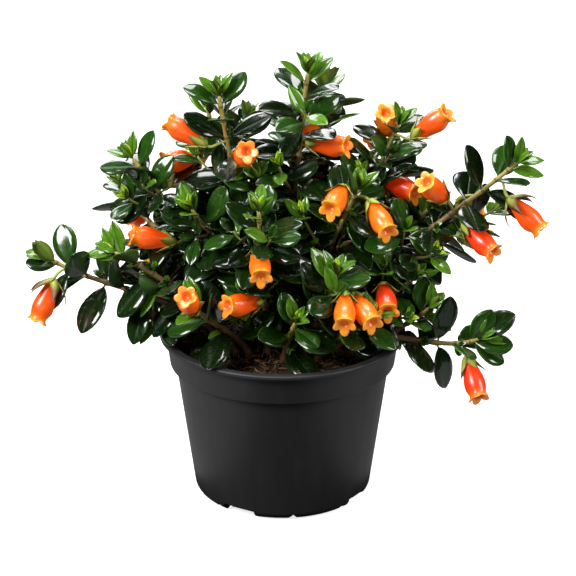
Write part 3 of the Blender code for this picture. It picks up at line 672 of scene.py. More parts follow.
def seat_at(place, along, upper):
    """A seat at a place: X along a direction, Z as near as can be to the upper side."""
    x = along.normalized()
    z = upper - x * upper.dot(x)
    if z.length < 1e-6:
        z = x.orthogonal()
    z.normalize()
    y = z.cross(x)
    seat = Matrix((x, y, z)).transposed().to_4x4()
    seat.translation = place
    return seat


def bearing_vector(bearing, rise):
    """The direction at a bearing and a rise in degrees."""
    a = math.radians(bearing)
    b = math.radians(rise)
    return Vector((math.cos(a) * math.cos(b), math.sin(a) * math.cos(b), math.sin(b)))


def about(along, degrees, direction):
    """A direction turned about a stem's line."""
    return Matrix.Rotation(math.radians(degrees), 3, along) @ direction


def level_across(along):
    """The level direction across a stem's line, or +X where the stem is upright."""
    level = along.cross(UP)
    return level.normalized() if level.length > UPRIGHT else RIGHT


def room_of(body, seat):
    """The room that a body takes up in its seat: its tree, its middle and its reach."""
    body.verts.index_update()
    corners = [seat @ corner.co for corner in body.verts]
    faces = [[corner.index for corner in face.verts] for face in body.faces]
    middle = sum(corners, Vector()) / len(corners)
    reach = max((corner - middle).length for corner in corners)
    body.free()
    return BVHTree.FromPolygons(corners, faces), middle, reach


class Taken:
    """The room that limbs, flowers and leaves already take up."""

    def __init__(self):
        self.rooms = []

    def add(self, room, owner=None):
        """Takes a room, for one shoot or for all."""
        self.rooms.append((*room, owner))

    def free(self, room, owner=None):
        """True where a room touches none that is taken, its own shoot's stems aside."""
        tree, middle, reach = room
        for other, centre, size, whose in self.rooms:
            if owner is not None and whose == owner:
                continue
            if (centre - middle).length > reach + size:
                continue
            if tree.overlap(other):
                return False
        return True

    def claim(self, rooms, owner):
        """Takes these rooms if all of them are free, and says whether they were."""
        if not all(self.free(room, owner) for room in rooms):
            return False
        for room in rooms:
            self.add(room, owner)
        return True


def pot_room():
    """Room for the filled pot: the soil's top, the pot's mouth and its outside."""
    mouth = COLLAR_TOP_RADIUS - WALL
    profile = [
        (0.0, SOIL_TOP),
        (SOIL_FLAT_RADIUS, SOIL_TOP),
        (mouth, SOIL_EDGE_TOP),
        (mouth, POT_HEIGHT),
        (LIP_RADIUS, POT_HEIGHT),
        (LIP_RADIUS, POT_HEIGHT - LIP_THICKNESS),
        (COLLAR_FOOT_RADIUS, POT_HEIGHT - COLLAR_HEIGHT),
        (WALL_FOOT_RADIUS, FOOT_ROUNDING),
    ]
    body = bmesh.new()
    corners = [body.verts.new((radius, 0.0, height)) for radius, height in profile]
    line = [body.edges.new(pair) for pair in zip(corners, corners[1:])]
    bmesh.ops.spin(
        body,
        geom=corners + line,
        cent=(0.0, 0.0, 0.0),
        axis=UP,
        angle=math.tau,
        steps=POT_STEPS,
        use_merge=True,
    )
    return room_of(body, Matrix())


def tube_rooms(places, radii, clear):
    """Room for a stem, one four-sided piece for each stretch of it."""
    rooms = []
    for (a, b), radius in zip(zip(places, places[1:]), radii):
        body = bmesh.new()
        length = (b - a).length
        bmesh.ops.create_cone(
            body,
            cap_ends=True,
            cap_tris=True,
            segments=4,
            radius1=radius + clear,
            radius2=radius + clear,
            depth=length,
        )
        body.transform(Matrix.Translation((0.0, 0.0, length / 2.0)))
        seat = UP.rotation_difference((b - a).normalized()).to_matrix().to_4x4()
        seat.translation = a
        rooms.append(room_of(body, seat))
    return rooms


Leaf = namedtuple("Leaf", "seat length below")
Bloom = namedtuple("Bloom", "seat start row")


class Growth:
    """What grows on one shoot: the lines of its twigs and tufts, its flowers and its leaves."""

    def __init__(self, shoot, path):
        self.shoot = shoot
        self.path = path
        self.light = light_for(shoot)
        self.twigs = []
        self.tufts = []
        self.blooms = []
        self.leaves = []


def at_back(shoot):
    """True for a shoot that stands behind the crown, out of view from the front."""
    return shoot.tip[1] > BACK_FROM


def light_for(shoot):
    """The light that a shoot's leaves turn to: from the front, or from behind at the back."""
    if not at_back(shoot):
        return FRONT_LIGHT
    outward = Vector((shoot.tip[0], shoot.tip[1], 0.0)).normalized()
    return (UP + outward * BACK_LIGHT_LEAN).normalized()


def leaf_seat(place, along, pair, lean, light):
    """The seat of a leaf that leans out from its stem, its upper side to the light."""
    angle = math.radians(lean)
    out = along * math.cos(angle) + pair * math.sin(angle)
    upper = along * (1.0 - LIGHT_PULL) + light * LIGHT_PULL
    if upper.cross(out).length < LEAF_STEEP:
        upper = upper + along
    return seat_at(place + out * LEAF_SEAT, out, upper)


def place_leaf(own, taken, place, along, pair, rank):
    """Adds a leaf in the first free place near the one that its rank gives, if there is one."""
    for size in (1.0, SMALLER_LEAF):
        length = rank.length * size * MM
        for turn in LEAF_TURNS:
            side = about(along, turn, pair)
            for tilt in LEAF_TILTS:
                lean = max(LEAST_LEAN, rank.lean + tilt)
                seat = leaf_seat(place, along, side, lean, own.light)
                room = room_of(leaf_body(length, LEAF_CLEAR), seat)
                if taken.free(room, own.shoot.name):
                    taken.add(room)
                    own.leaves.append(Leaf(seat, length, rank.below))
                    return


def leaf_pairs(own, taken, path, ranks, roll, stop, draw):
    """Pairs of leaves down a stem, each pair square to the one above it."""
    for index, rank in enumerate(ranks):
        share = share_below_tip(path, rank.below * MM)
        if share < stop + LEAF_START:
            break
        place, along = bezier(path, share)
        turn = roll + 90.0 * (index % 2) + draw.uniform(-ROLL_SPREAD, ROLL_SPREAD)
        pair = about(along, turn, level_across(along))
        length = rank.length * draw.uniform(*SIZE_SPREAD)
        for side in (1.0, -1.0):
            lean = rank.lean + draw.uniform(-LEAN_SPREAD, LEAN_SPREAD)
            place_leaf(own, taken, place, along, pair * side, Rank(rank.below, length, lean))


def side_path(path, share, bearing, length):
    """The line of a side twig, which leaves its stem and bends up to the light."""
    place, along = bezier(path, share)
    out = about(along, bearing, level_across(along))
    lean = math.radians(TWIG_LEAN)
    leave = along * math.cos(lean) + out * math.sin(lean)
    tip = place + leave * length + UP * (TWIG_RISE * length)
    arrive = (leave + UP * TWIG_BEND).normalized()
    return place, place + leave * (length / 3.0), tip - arrive * (length / 3.0), tip


def stretch(path, first, last, count):
    """Evenly spread places along a part of a path."""
    return [bezier(path, first + (last - first) * k / (count - 1))[0] for k in range(count)]


def grow_limb(own, taken):
    """Room for a shoot's bare limb and for the stem inside its foliage mass."""
    shoot = own.shoot
    mass_start = shoot.bare + SEAT_GAP / path_length(own.path)
    for first, last, count in ((0.0, shoot.bare, LIMB_POINTS), (mass_start, 1.0, AXIS_POINTS)):
        radii = [girth(shoot, first + (last - first) * k / (count - 1)) for k in range(count)]
        for room in tube_rooms(stretch(own.path, first, last, count), radii, LEAF_CLEAR):
            taken.add(room, shoot.name)


def flower_rows(shoot):
    """The flowers of a shoot: those in view, and those that the seeded rule adds at the back."""
    rows = [row for row in FLOWERS if row.shoot == shoot.name]
    if at_back(shoot):
        draw = random.Random(shoot.name)
        outward = math.degrees(math.atan2(shoot.tip[1], shoot.tip[0]))
        for share in BACK_FLOWER_SHARES:
            bearing = 90.0 + (outward - 90.0) * BACK_TURN
            bearing += draw.uniform(-BACK_BEARING_SPREAD, BACK_BEARING_SPREAD)
            stalk = bearing_vector(bearing, draw.uniform(*BACK_STALK_RISE)) * BACK_STALK
            rise = draw.uniform(*BACK_FLOWER_RISE)
            rows.append(Flower(shoot.name, share, tuple(stalk), bearing, rise))
    return rows


def bloom_at(path, row):
    """A flower in its seat, and the place on the shoot's line where its stalk starts."""
    start = bezier(path, row.share)[0]
    axis = bearing_vector(row.bearing, row.rise)
    return Bloom(seat_at(start + in_mm(row.stalk), axis, UP), start, row)


def grow_flowers(own, taken):
    """The flowers of a shoot, each where there is room for it and its stalk."""
    for row in flower_rows(own.shoot):
        bloom = bloom_at(own.path, row)
        room = room_of(flower_body(FLOWER_CLEAR), bloom.seat)
        calyx = bloom.start + in_mm(row.stalk)
        stalk = tube_rooms([bloom.start, calyx], [PEDICEL_GIRTH], FLOWER_CLEAR)
        if taken.free(room) and taken.claim(stalk, own.shoot.name):
            taken.add(room)
            own.blooms.append(bloom)


def twig_fits(own, taken, twig, radii, clear):
    """Takes the room for a side twig if it is free, and says whether it was."""
    places = stretch(twig, 0.0, 1.0, TWIG_POINTS)
    return taken.claim(tube_rooms(places, radii, clear), own.shoot.name)


def grow_twigs(own, taken):
    """The side twigs of a shoot, each where there is room for it."""
    radii = [TWIG_GIRTH * (1.0 - TWIG_TAPER * k / (TWIG_POINTS - 1)) for k in range(TWIG_POINTS)]
    for share, bearing in own.shoot.twigs:
        if share < own.shoot.bare + FORK_START:
            continue
        twig = side_path(own.path, share, bearing, TWIG_LENGTH)
        if twig_fits(own, taken, twig, radii, LEAF_CLEAR):
            own.twigs.append(twig)


def grow():
    """All limbs, flowers, twigs and leaves, by the seeded rule, in the order of SHOOTS."""
    shoots = {shoot.name: shoot for shoot in SHOOTS}
    paths = {}
    for shoot in SHOOTS:
        paths[shoot.name] = shoot_path(shoot, shoots, paths)
    plants = {shoot.name: Growth(shoot, paths[shoot.name]) for shoot in SHOOTS}
    taken = Taken()
    taken.add(pot_room())
    for step in (grow_limb, grow_flowers, grow_twigs):
        for own in plants.values():
            step(own, taken)
    for index, own in enumerate(plants.values()):
        draw = random.Random(SEED + index)
        leaf_pairs(own, taken, own.path, RANKS, own.shoot.roll, own.shoot.bare, draw)
        for twig in own.twigs:
            leaf_pairs(own, taken, twig, TWIG_RANKS, draw.uniform(0.0, 90.0), TWIG_BARE, draw)
    return plants, taken


class Value:
    """A number or colour in a material, on which plain arithmetic adds Math nodes."""

    def __init__(self, finish, socket):
        self.finish = finish
        self.socket = socket

    def math(self, operation, *others):
        """The result of one Math node."""
        return self.finish.node("ShaderNodeMath", {"operation": operation}, [self, *others])

    def __add__(self, other):
        return self.math("ADD", other)

    def __sub__(self, other):
        return self.math("SUBTRACT", other)

    def __mul__(self, other):
        return self.math("MULTIPLY", other)

    def __rsub__(self, other):
        return self.finish.node("ShaderNodeMath", {"operation": "SUBTRACT"}, [other, self])

    __radd__ = __add__
    __rmul__ = __mul__

    def distance(self, middle):
        """How far the value lies from a number, either way."""
        return (self - middle).math("ABSOLUTE")

    def ramp(self, low, high):
        """0 up to low, 1 from high on, and a soft rise between them."""
        settings = {"interpolation_type": "SMOOTHSTEP"}
        return self.finish.node("ShaderNodeMapRange", settings, [self, low, high, 0.0, 1.0])


def socket_name(key):
    """The name of a shader's socket, from the keyword that stands for it."""
    return key.replace("_", " ").title().replace("Ior", "IOR")


class Finish:
    """A material: its Principled shader, and the nodes that vary over the surface."""

    def __init__(self, name, **plain):
        self.material = bpy.data.materials.new(name)
        self.material.use_nodes = True
        self.tree = self.material.node_tree
        self.shader = self.tree.nodes["Principled BSDF"]
        for key, value in plain.items():
            self.shader.inputs[socket_name(key)].default_value = value

    def node(self, kind, settings=None, inputs=(), output=0):
        """Adds a node, gives it its settings and then the values or links of its sockets."""
        made = self.tree.nodes.new(kind)
        for key, value in (settings or {}).items():
            setattr(made, key, value)
        pairs = inputs.items() if isinstance(inputs, dict) else enumerate(inputs)
        for key, value in pairs:
            if isinstance(value, Value):
                self.tree.links.new(value.socket, made.inputs[key])
            elif value is not None:
                made.inputs[key].default_value = value
        return Value(self, made.outputs[output])

    def mix(self, share, first, second):
        """A colour between two colours."""
        first, second = [(*c, 1.0) if isinstance(c, tuple) else c for c in (first, second)]
        settings = {"data_type": "RGBA"}
        return self.node("ShaderNodeMix", settings, {0: share, 6: first, 7: second}, 2)

    def place(self):
        """The place on the piece, in metres."""
        return self.node("ShaderNodeTexCoord", output="Object")

    def own_map(self):
        """The piece's own map, and its two directions: along the piece and across it."""
        spot = self.node("ShaderNodeUVMap", {"uv_map": "OFBake"})
        apart = self.node("ShaderNodeSeparateXYZ", None, [spot])
        return spot, apart, Value(self, apart.socket.node.outputs[1])

    def noise(self, spot, scale, detail=3.0, roughness=0.55):
        """Soft noise around one half."""
        inputs = {"Vector": spot, "Scale": scale, "Detail": detail, "Roughness": roughness}
        return self.node("ShaderNodeTexNoise", None, inputs)

    def grain(self, spot, stretch, scale, detail=3.0, turn=0.0):
        """Noise that is drawn out differently along each axis."""
        drawn = self.node("ShaderNodeMapping", None, {0: spot, 2: (0.0, 0.0, turn), 3: stretch})
        return self.noise(drawn, scale, detail)

    def put(self, bump=None, **values):
        """Links what varies, and the bump's height with its strength and depth, if any."""
        for key, value in values.items():
            self.tree.links.new(value.socket, self.shader.inputs[socket_name(key)])
        if bump is not None:
            height, strength, distance = bump
            inputs = {"Height": height, "Strength": strength, "Distance": distance}
            normal = self.node("ShaderNodeBump", None, inputs)
            self.tree.links.new(normal.socket, self.shader.inputs["Normal"])
        return self.material


def leaf_finish(name, look):
    """A glossy leaf: midrib, side veins and a pale rim on its upper side, the rim partly a painted
    highlight, and a paler underside.
    """
    finish = Finish(name, coat_weight=0.95, coat_roughness=0.09, specular_ior_level=0.10)
    spot, along, across = finish.own_map()
    side = across.distance(LEAF_TOP_MIDDLE) * (1.0 / LEAF_TOP_HALF)
    on_top = 1.0 - across.ramp(LEAF_TOP_END - 0.005, LEAF_TOP_END + 0.005)
    cloud = finish.grain(spot, (2.2, 5.0, 1.0), 2.4)
    veins = (along * 46.0 - side * 9.0).math("SINE").ramp(0.80, 1.0) * (1.0 - side.ramp(0.6, 0.95))
    midrib = 1.0 - side.ramp(0.02, 0.09)
    # The rim band is partly the margin's own paler green and partly a painted highlight of its
    # rolled edge.
    edge = side.ramp(0.86, 0.97)
    foot = 1.0 - along.ramp(0.05, 0.20)
    paler = tuple(c * 1.8 for c in look.blade)
    colour = finish.mix(cloud.ramp(0.35, 0.7) * 0.55, look.blade, paler)
    colour = finish.mix(veins * 0.10, colour, look.vein)
    colour = finish.mix(midrib * 0.18, colour, look.vein)
    colour = finish.mix(edge * 0.75, colour, look.rim)
    colour = finish.mix(foot * 0.80, colour, look.vein)
    back = finish.mix(cloud * 0.6, look.under, tuple(c * 0.6 for c in look.under))
    colour = finish.mix(on_top, back, colour)
    gloss = on_top * -0.18 + (look.roughness + 0.18) + cloud * 0.06
    coat = on_top * 0.70 + 0.25
    pillow = (side - 0.5) * (side - 0.5) * -1.0 + (along - 0.55) * (along - 0.55) * -1.0
    relief = pillow + midrib * -0.11 + veins * -0.028 + cloud * 0.05
    bump = (relief, LEAF_PUFF, LEAF_SWELL)
    return finish.put(bump, base_color=colour, roughness=gloss, coat_weight=coat)


def petal_finish(name, look):
    """A satin petal that glows faintly in its own colour as painted light: deep at the calyx, bright
    over the pouch, yellow on the lobes.
    """
    # The faint emission is painted light: each petal glows a little in its own colour.
    finish = Finish(name, coat_weight=0.28, coat_roughness=0.14, emission_strength=0.20)
    spot, along, across = finish.own_map()
    cloud = finish.grain(spot, (3.0, 4.0, 1.0), 3.0)
    streak = finish.grain(spot, (1.2, 40.0, 1.0), 1.0)
    colour = finish.mix(along.ramp(0.04, 0.40) * 0.9 + cloud * 0.1, look.base, look.body)
    upper = 1.0 - across.distance(0.5).ramp(0.05, 0.36)
    colour = finish.mix(upper * 0.45, colour, look.base)
    colour = finish.mix(streak.ramp(0.45, 0.75) * 0.18, colour, look.lobe)
    colour = finish.mix(along.ramp(0.42, 0.68) * 0.92, colour, look.lobe)
    colour = finish.mix(along.ramp(0.64, 0.76), colour, look.lip)
    colour = finish.mix(along.ramp(0.84, 0.96) * 0.9, colour, look.throat)
    bump = (streak * 0.5 + cloud, 0.2, 0.4 * MM)
    # The petal's colour is also its painted glow.
    return finish.put(bump, base_color=colour, emission_color=colour, roughness=cloud * 0.12 + 0.28)


def calyx_finish(name, browned):
    """An olive sepal that browns towards its tip, from a share of its length on."""
    finish = Finish(name)
    spot, along, _ = finish.own_map()
    cloud = finish.grain(spot, (3.0, 6.0, 1.0), 3.0)
    colour = finish.mix(cloud.ramp(0.3, 0.7), (0.26, 0.33, 0.040), (0.36, 0.36, 0.060))
    tip = (along + (cloud - 0.5) * 0.4).ramp(browned, browned + 0.45)
    colour = finish.mix(tip * 0.9, colour, (0.13, 0.045, 0.024))
    return finish.put((cloud, 0.4, 0.4 * MM), base_color=colour, roughness=cloud * 0.15 + 0.40)


def bark_finish(name, look):
    """Bark that is brown at the foot and green-tan above, with red-brown leaf joints."""
    finish = Finish(name)
    spot, along, across = finish.own_map()
    grain = finish.grain(spot, (26.0, 5.0, 1.0), 2.2, 4.0)
    streak = finish.grain(spot, (4.0, 26.0, 1.0), 1.0)
    age = along + (grain - 0.5) * 0.16
    colour = finish.mix(age.ramp(0.25, 0.62), look.foot, look.middle)
    colour = finish.mix(age.ramp(0.58, 0.92), colour, look.tip)
    colour = finish.mix(streak.ramp(0.42, 0.72) * 0.5, colour, look.joint)
    at_joint = across.ramp(JOINT_STRIP - 0.02, JOINT_STRIP + 0.01)
    colour = finish.mix(at_joint * 0.7, colour, look.joint)
    bump = (grain * 0.7 + streak, 0.6, 0.4 * MM)
    return finish.put(bump, base_color=colour, roughness=grain * 0.25 + 0.38)


def stalk_finish():
    """A pale green flower stalk, flushed brown near the stem."""
    finish = Finish("stalk_skin")
    spot, along, _ = finish.own_map()
    cloud = finish.grain(spot, (3.0, 5.0, 1.0), 2.5)
    colour = finish.mix(cloud.ramp(0.3, 0.7), (0.24, 0.30, 0.05), (0.36, 0.38, 0.09))
    colour = finish.mix((1.0 - along.ramp(0.0, 0.3)) * 0.6, colour, (0.17, 0.10, 0.035))
    return finish.put(base_color=colour, roughness=cloud * 0.1 + 0.38)


def pot_finish():
    """Black moulded plastic: satin, with a fine grain and faint scuffs and dust."""
    finish = Finish("pot_plastic_skin", specular_ior_level=0.42)
    place = finish.place()
    grain = finish.noise(place, 1800.0, 2.0)
    scuff = finish.grain(place, (30.0, 30.0, 6.0), 4.0, 5.0)
    flow = finish.grain(place, (60.0, 60.0, 3.0), 2.0)
    dust = scuff.ramp(0.52, 0.80) * 0.16
    colour = finish.mix(dust, (0.016, 0.016, 0.0165), (0.050, 0.048, 0.046))
    bump = (grain * 0.6 + flow * 0.5, 0.22, 0.3 * MM)
    return finish.put(bump, base_color=colour, roughness=flow * 0.14 + scuff * 0.12 + 0.36)


def soil_finish(name, look):
    """Peat and bark soil: dark crumbs with tan fibre in them."""
    finish = Finish(name, specular_ior_level=0.25)
    place = finish.place()
    clods = finish.noise(place, 260.0, 6.0, 0.7)
    fibre = finish.grain(place, (900.0, 200.0, 300.0), 1.0, turn=0.7)
    colour = finish.mix(clods.ramp(0.42, 0.66), look.dark, look.wet)
    colour = finish.mix(fibre.ramp(0.60, 0.74) * 0.8, colour, look.light)
    bump = (clods + fibre * 0.6, 0.9, 1.2 * MM)
    return finish.put(bump, base_color=colour, roughness=clods * 0.2 + 0.72)


Shape = namedtuple("Shape", "corners faces spots")


def lattice(rows, along, across, closed=False):
    """A sheet of faces over rows of corners, with its own map."""
    rows = np.asarray(rows, float)
    count, width = rows.shape[:2]
    faces = []
    spots = []
    for i in range(count - 1):
        for j in range(width if closed else width - 1):
            k = (j + 1) % width
            faces.append((i * width + j, i * width + k, (i + 1) * width + k, (i + 1) * width + j))
            near, far = across[j], across[j + 1]
            spots += [(along[i], near), (along[i], far), (along[i + 1], far), (along[i + 1], near)]
    return Shape(rows.reshape(-1, 3), faces, np.array(spots))


def welded(*shapes):
    """Sheets made one closed shape: doubles merged, faces turned outwards."""
    body = bmesh.new()
    layer = body.loops.layers.uv.new("OFBake")
    for shape in shapes:
        corners = [body.verts.new(place) for place in shape.corners]
        spots = iter(shape.spots)
        for face in shape.faces:
            made = body.faces.new([corners[index] for index in face])
            for loop in made.loops:
                loop[layer].uv = next(spots)
    bmesh.ops.remove_doubles(body, verts=body.verts, dist=0.000002)
    bmesh.ops.dissolve_degenerate(body, edges=body.edges, dist=0.0000005)
    bmesh.ops.recalc_face_normals(body, faces=body.faces)
    body.verts.index_update()
    places = np.array([tuple(corner.co) for corner in body.verts])
    faces = [tuple(corner.index for corner in face.verts) for face in body.faces]
    spots = np.array([tuple(loop[layer].uv) for face in body.faces for loop in face.loops])
    body.free()
    return Shape(places, faces, spots)


class Heap:
    """Many small shapes of one kind, joined into one mesh."""

    def __init__(self):
        self.corners = []
        self.faces = []
        self.spots = []
        self.total = 0

    def add(self, shape, place=None, size=1.0):
        """Adds one shape, scaled by its size and then moved to its place."""
        corners = shape.corners * size
        if place is not None:
            corners = corners @ np.array(place.to_3x3()).T + np.array(place.translation)
        self.corners.append(corners)
        self.faces += [[corner + self.total for corner in face] for face in shape.faces]
        self.spots.append(shape.spots)
        self.total += len(corners)

    def piece(self, name, material, slot, nodes):
        """The finished piece of all the shapes so far."""
        mesh = bpy.data.meshes.new(name)
        mesh.from_pydata(np.concatenate(self.corners).tolist(), [], self.faces)
        layer = mesh.uv_layers.new(name="OFBake")
        layer.uv.foreach_set("vector", np.concatenate(self.spots).ravel())
        mesh.shade_smooth()
        return dress(bpy.data.objects.new(name, mesh), material, slot, nodes)


def dress(piece, material, slot, nodes):
    """Puts a finished piece on the plant's body, with its finish and the nodes it replaces."""
    if piece.name not in bpy.context.scene.collection.all_objects:
        bpy.context.scene.collection.objects.link(piece)
    piece.data.materials.clear()
    piece.data.materials.append(material)
    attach(piece, "root")
    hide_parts(*nodes)
    return piece


def blade_half(form, share):
    """Half the width of a leaf at a share of its length."""
    t = max(0.0, (share - PETIOLE) / (1.0 - PETIOLE))
    widest = form.base / (form.base + form.tip)
    full = widest**form.base * (1.0 - widest) ** form.tip
    return PETIOLE_HALF * (1.0 - t) + form.half * t**form.base * (1.0 - t) ** form.tip / full


def leaf_shape(form):
    """A leaf one metre long, along +X: petiole, arched blade, creased midrib and rolled rim."""
    upper = []
    lower = []
    for share in LEAF_STATIONS:
        half = blade_half(form, share)
        spine = form.arch * share - (form.arch + LEAF_DROOP) * share**2
        row = []
        for column, relief in zip(LEAF_COLUMNS, LEAF_RELIEF):
            height = spine + half * (relief + form.cup * abs(column) ** 1.5)
            row.append((share, column * half, height))
        upper.append(row)
        thick = LEAF_THICK * min(1.0, 0.35 + half / form.half)
        keel = spine - min(thick, 1.6 * half + 0.002)
        lower.append([row[0], (share, 0.0, keel), row[-1]])
    along = [0.02 + 0.96 * share for share in LEAF_STATIONS]
    top = lattice(upper, along, [LEAF_TOP_MIDDLE + LEAF_TOP_HALF * c for c in LEAF_COLUMNS])
    under = [LEAF_UNDER_MIDDLE + LEAF_UNDER_HALF * c for c in (-1.0, 0.0, 1.0)]
    return welded(top, lattice(lower, along, under))


def lobe_share(turn):
    """1 at the middle of a lower petal lobe, less at an upper one, 0 in the notches between."""
    wave = abs(math.cos(LOBES * turn / 2.0))
    return wave * (UPPER_LOBES + (1.0 - UPPER_LOBES) * (1.0 + math.cos(turn)) / 2.0)


def petal_shape():
    """A pouch flower along +X with its chin to -Z, and a lobed mouth that leads inside."""
    rows = []
    along = []
    last_ring = len(PETAL_RINGS) - 1
    for index, (share, radius, chin, spread, reach) in enumerate(PETAL_RINGS):
        row = []
        for k in range(PETAL_SIDES):
            turn = math.tau * k / PETAL_SIDES
            lobe = lobe_share(turn)
            hang = 1.0 + LOWER_LOBE * max(0.0, math.cos(turn)) ** LOWER_LOBE_NARROW
            out = (radius + spread * lobe * hang) * MM
            down = out * math.cos(turn) + chin * MM * (1.0 + math.cos(turn)) / 2.0
            row.append(((share + reach * lobe) * FLOWER_LENGTH, out * math.sin(turn), -down))
        rows.append(row)
        if index <= MOUTH_RING:
            along.append(MOUTH_MARK * index / MOUTH_RING)
        else:
            inside = (index - MOUTH_RING) / (last_ring - MOUTH_RING)
            along.append(MOUTH_MARK + (1.0 - MOUTH_MARK) * inside)
    first = [(0.0, 0.0, 0.0)] * PETAL_SIDES
    last = [(THROAT_END * FLOWER_LENGTH, 0.0, 0.0)] * PETAL_SIDES
    across = [k / PETAL_SIDES for k in range(PETAL_SIDES + 1)]
    return welded(lattice([first, *rows, last], [0.0, *along, 1.0], across, closed=True))


def calyx_shape(stations):
    """Five long pointed sepals that hold the foot of the flower, one shape each."""
    sepals = []
    along = [k / (len(stations) - 1) for k in range(len(stations))]
    for index in range(SEPALS):
        turn = math.tau * (index + 0.5) / SEPALS
        radial = Vector((0.0, math.sin(turn), -math.cos(turn)))
        side = Vector((0.0, math.cos(turn), math.sin(turn)))
        upper = []
        lower = []
        for reach, out, half in stations:
            middle = (RIGHT * reach + radial * out) * MM
            fold = radial * (SEPAL_FOLD * half * MM)
            left, right = [middle + side * (half * MM * k) - fold for k in (-1, 1)]
            upper.append([left, middle + radial * SEPAL_THICK * 0.5, right])
            lower.append([left, middle - radial * SEPAL_THICK * 0.5, right])
        outside = lattice(upper, along, (0.0, 0.25, 0.5))
        inside = lattice(lower, along, (0.5, 0.75, 1.0))
        sepals.append(welded(outside, inside))
    return sepals


StemRing = namedtuple("StemRing", "place radius along joint")


def stem_shape(rings, sides, relief=0.0):
    """A closed stem through its rings, with bark relief, its joints in the map's own strip."""
    rows = []
    out = None
    for index, ring in enumerate(rings):
        before = rings[max(0, index - 1)].place
        after = rings[min(len(rings) - 1, index + 1)].place
        heading = (after - before).normalized()
        out = heading.orthogonal() if out is None else out - heading * out.dot(heading)
        out = out.normalized()
        across = heading.cross(out)
        row = []
        for k in range(sides):
            angle = math.tau * k / sides
            way = out * math.cos(angle) + across * math.sin(angle)
            rough = noise.noise((ring.place + way * ring.radius) * BARK_GRAIN) * relief
            row.append(ring.place + way * ring.radius * (1.0 + rough))
        rows.append(row)
    rows = [[rings[0].place] * sides, *rows, [rings[-1].place] * sides]
    along = [rings[0].along, *(ring.along for ring in rings), rings[-1].along]
    across = [JOINT_STRIP * 0.96 * k / sides for k in range(sides + 1)]
    shape = lattice(rows, along, across, closed=True)
    spots = shape.spots.reshape(-1, 4, 2)
    joints = [False, *(ring.joint for ring in rings), False]
    for row, pair in enumerate(zip(joints, joints[1:])):
        if all(pair):
            cells = spots[row * sides : (row + 1) * sides]
            cells[:, :, 1] = JOINT_STRIP + 0.03 + 0.1 * cells[:, :, 1]
    return welded(shape)


def shoot_stem(shoot, path):
    """A shoot's stem from under the soil, or from its fork, to its tip."""
    length = path_length(path)
    count = max(8, round(length / RING_GAP))
    joints = [share_below_tip(path, rank.below * MM) for rank in RANKS[1:]]
    low = joints[-1] if joints[-1] > 0.0 else min(j for j in joints if j > 0.0)
    while low > JOINT_GAP / length:
        low -= JOINT_GAP / length
        joints.append(low)
    rings = []
    for share in (k / count for k in range(count + 1)):
        nearest = min(abs(share - joint) for joint in joints) * length
        swell = JOINT_SWELL * math.exp(-((nearest / JOINT_SPAN) ** 2))
        radius = girth(shoot, share) * (STEM_FINE + swell)
        rings.append(StemRing(bezier(path, share)[0], radius, share, nearest < JOINT_SPAN))
    foot, heading = bezier(path, 0.0)
    if shoot.parent:
        roots = [(foot - heading * (SIDE_GIRTH * FORK_REACH), SIDE_GIRTH * FORK_FLARE)]
    else:
        drops = (FOOT_RISE * 0.6, FOOT_RISE + SOIL_DIP)
        roots = [(foot - UP * drop, FOOT_GIRTH * FOOT_FLARE) for drop in drops]
    for place, radius in roots:
        rings.insert(0, StemRing(place, radius, 0.0, False))
    rings[-1] = rings[-1]._replace(radius=rings[-1].radius * STEM_END)
    return stem_shape(rings, STEM_SIDES, BARK_RELIEF)


def thin_stem(path, foot, tip):
    """A smooth thin stem along a line."""
    count = max(4, round(path_length(path) / TWIG_RING_GAP))
    rings = []
    for share in (k / count for k in range(count + 1)):
        radius = foot + (tip - foot) * share
        rings.append(StemRing(bezier(path, share)[0], radius, share, False))
    return stem_shape(rings, FINE_SIDES)


def leaf_tone(below, draw):
    """Young leaves at a tip are bright, and those below are darker the deeper they stand, partly by
    age and partly as painted shade.
    """
    tip, fresh, green, dark = TONE_ENDS
    if below < tip:
        return "tip"
    if below < fresh:
        return "fresh"
    if below < green:
        return "fresh" if draw.random() < FRESH_CHANCE else "green"
    if below < dark:
        return draw.choice(("green", "dark", "dark"))
    return draw.choice(("dark", "deep", "deep"))


def inside_crown(place):
    """True in the thick of the crown, away from the bare outer stems and the front's soil."""
    if place.xy.length > INNER_RADIUS or place.z < INNER_HEIGHT:
        return False
    return place.y > INNER_FRONT or place.z > INNER_HEIGHT + INNER_FRONT_RISE


def bloom_middles(plants):
    """The middles of the flowers that face the front."""
    blooms = [bloom for own in plants.values() for bloom in own.blooms]
    middles = [bloom.seat @ (RIGHT * (FLOWER_LENGTH * BLOOM_MIDDLE)) for bloom in blooms]
    return [middle for middle in middles if middle.y < BLOOM_FRONT]


def hides_bloom(place, middles):
    """True where a leafy twig would stand between a flower and the viewer."""
    for middle in middles:
        ahead = (Vector(CAMERA_PLACE) - middle).normalized()
        gap = place - middle
        reach = gap.dot(ahead)
        if reach > 0.0 and (gap - ahead * reach).length < BLOOM_VIEW:
            return True
    return False


def grow_leafy_twig(own, taken, middles, twig, ranks, draw):
    """Adds a small twig with its leaves if it has room and hides no flower; says if it did."""
    if hides_bloom(twig[-1], middles):
        return False
    if not twig_fits(own, taken, twig, [TUFT_GIRTH] * TWIG_POINTS, TUFT_CLEAR):
        return False
    own.tufts.append(twig)
    leaf_pairs(own, taken, twig, ranks, draw.uniform(0.0, 90.0), 0.0, draw)
    return True


def pair_bearing(shoot, index, side):
    """The bearing about its stem of one leaf of a pair, counted from the tip."""
    return shoot.roll + 90.0 * (index % 2) + side


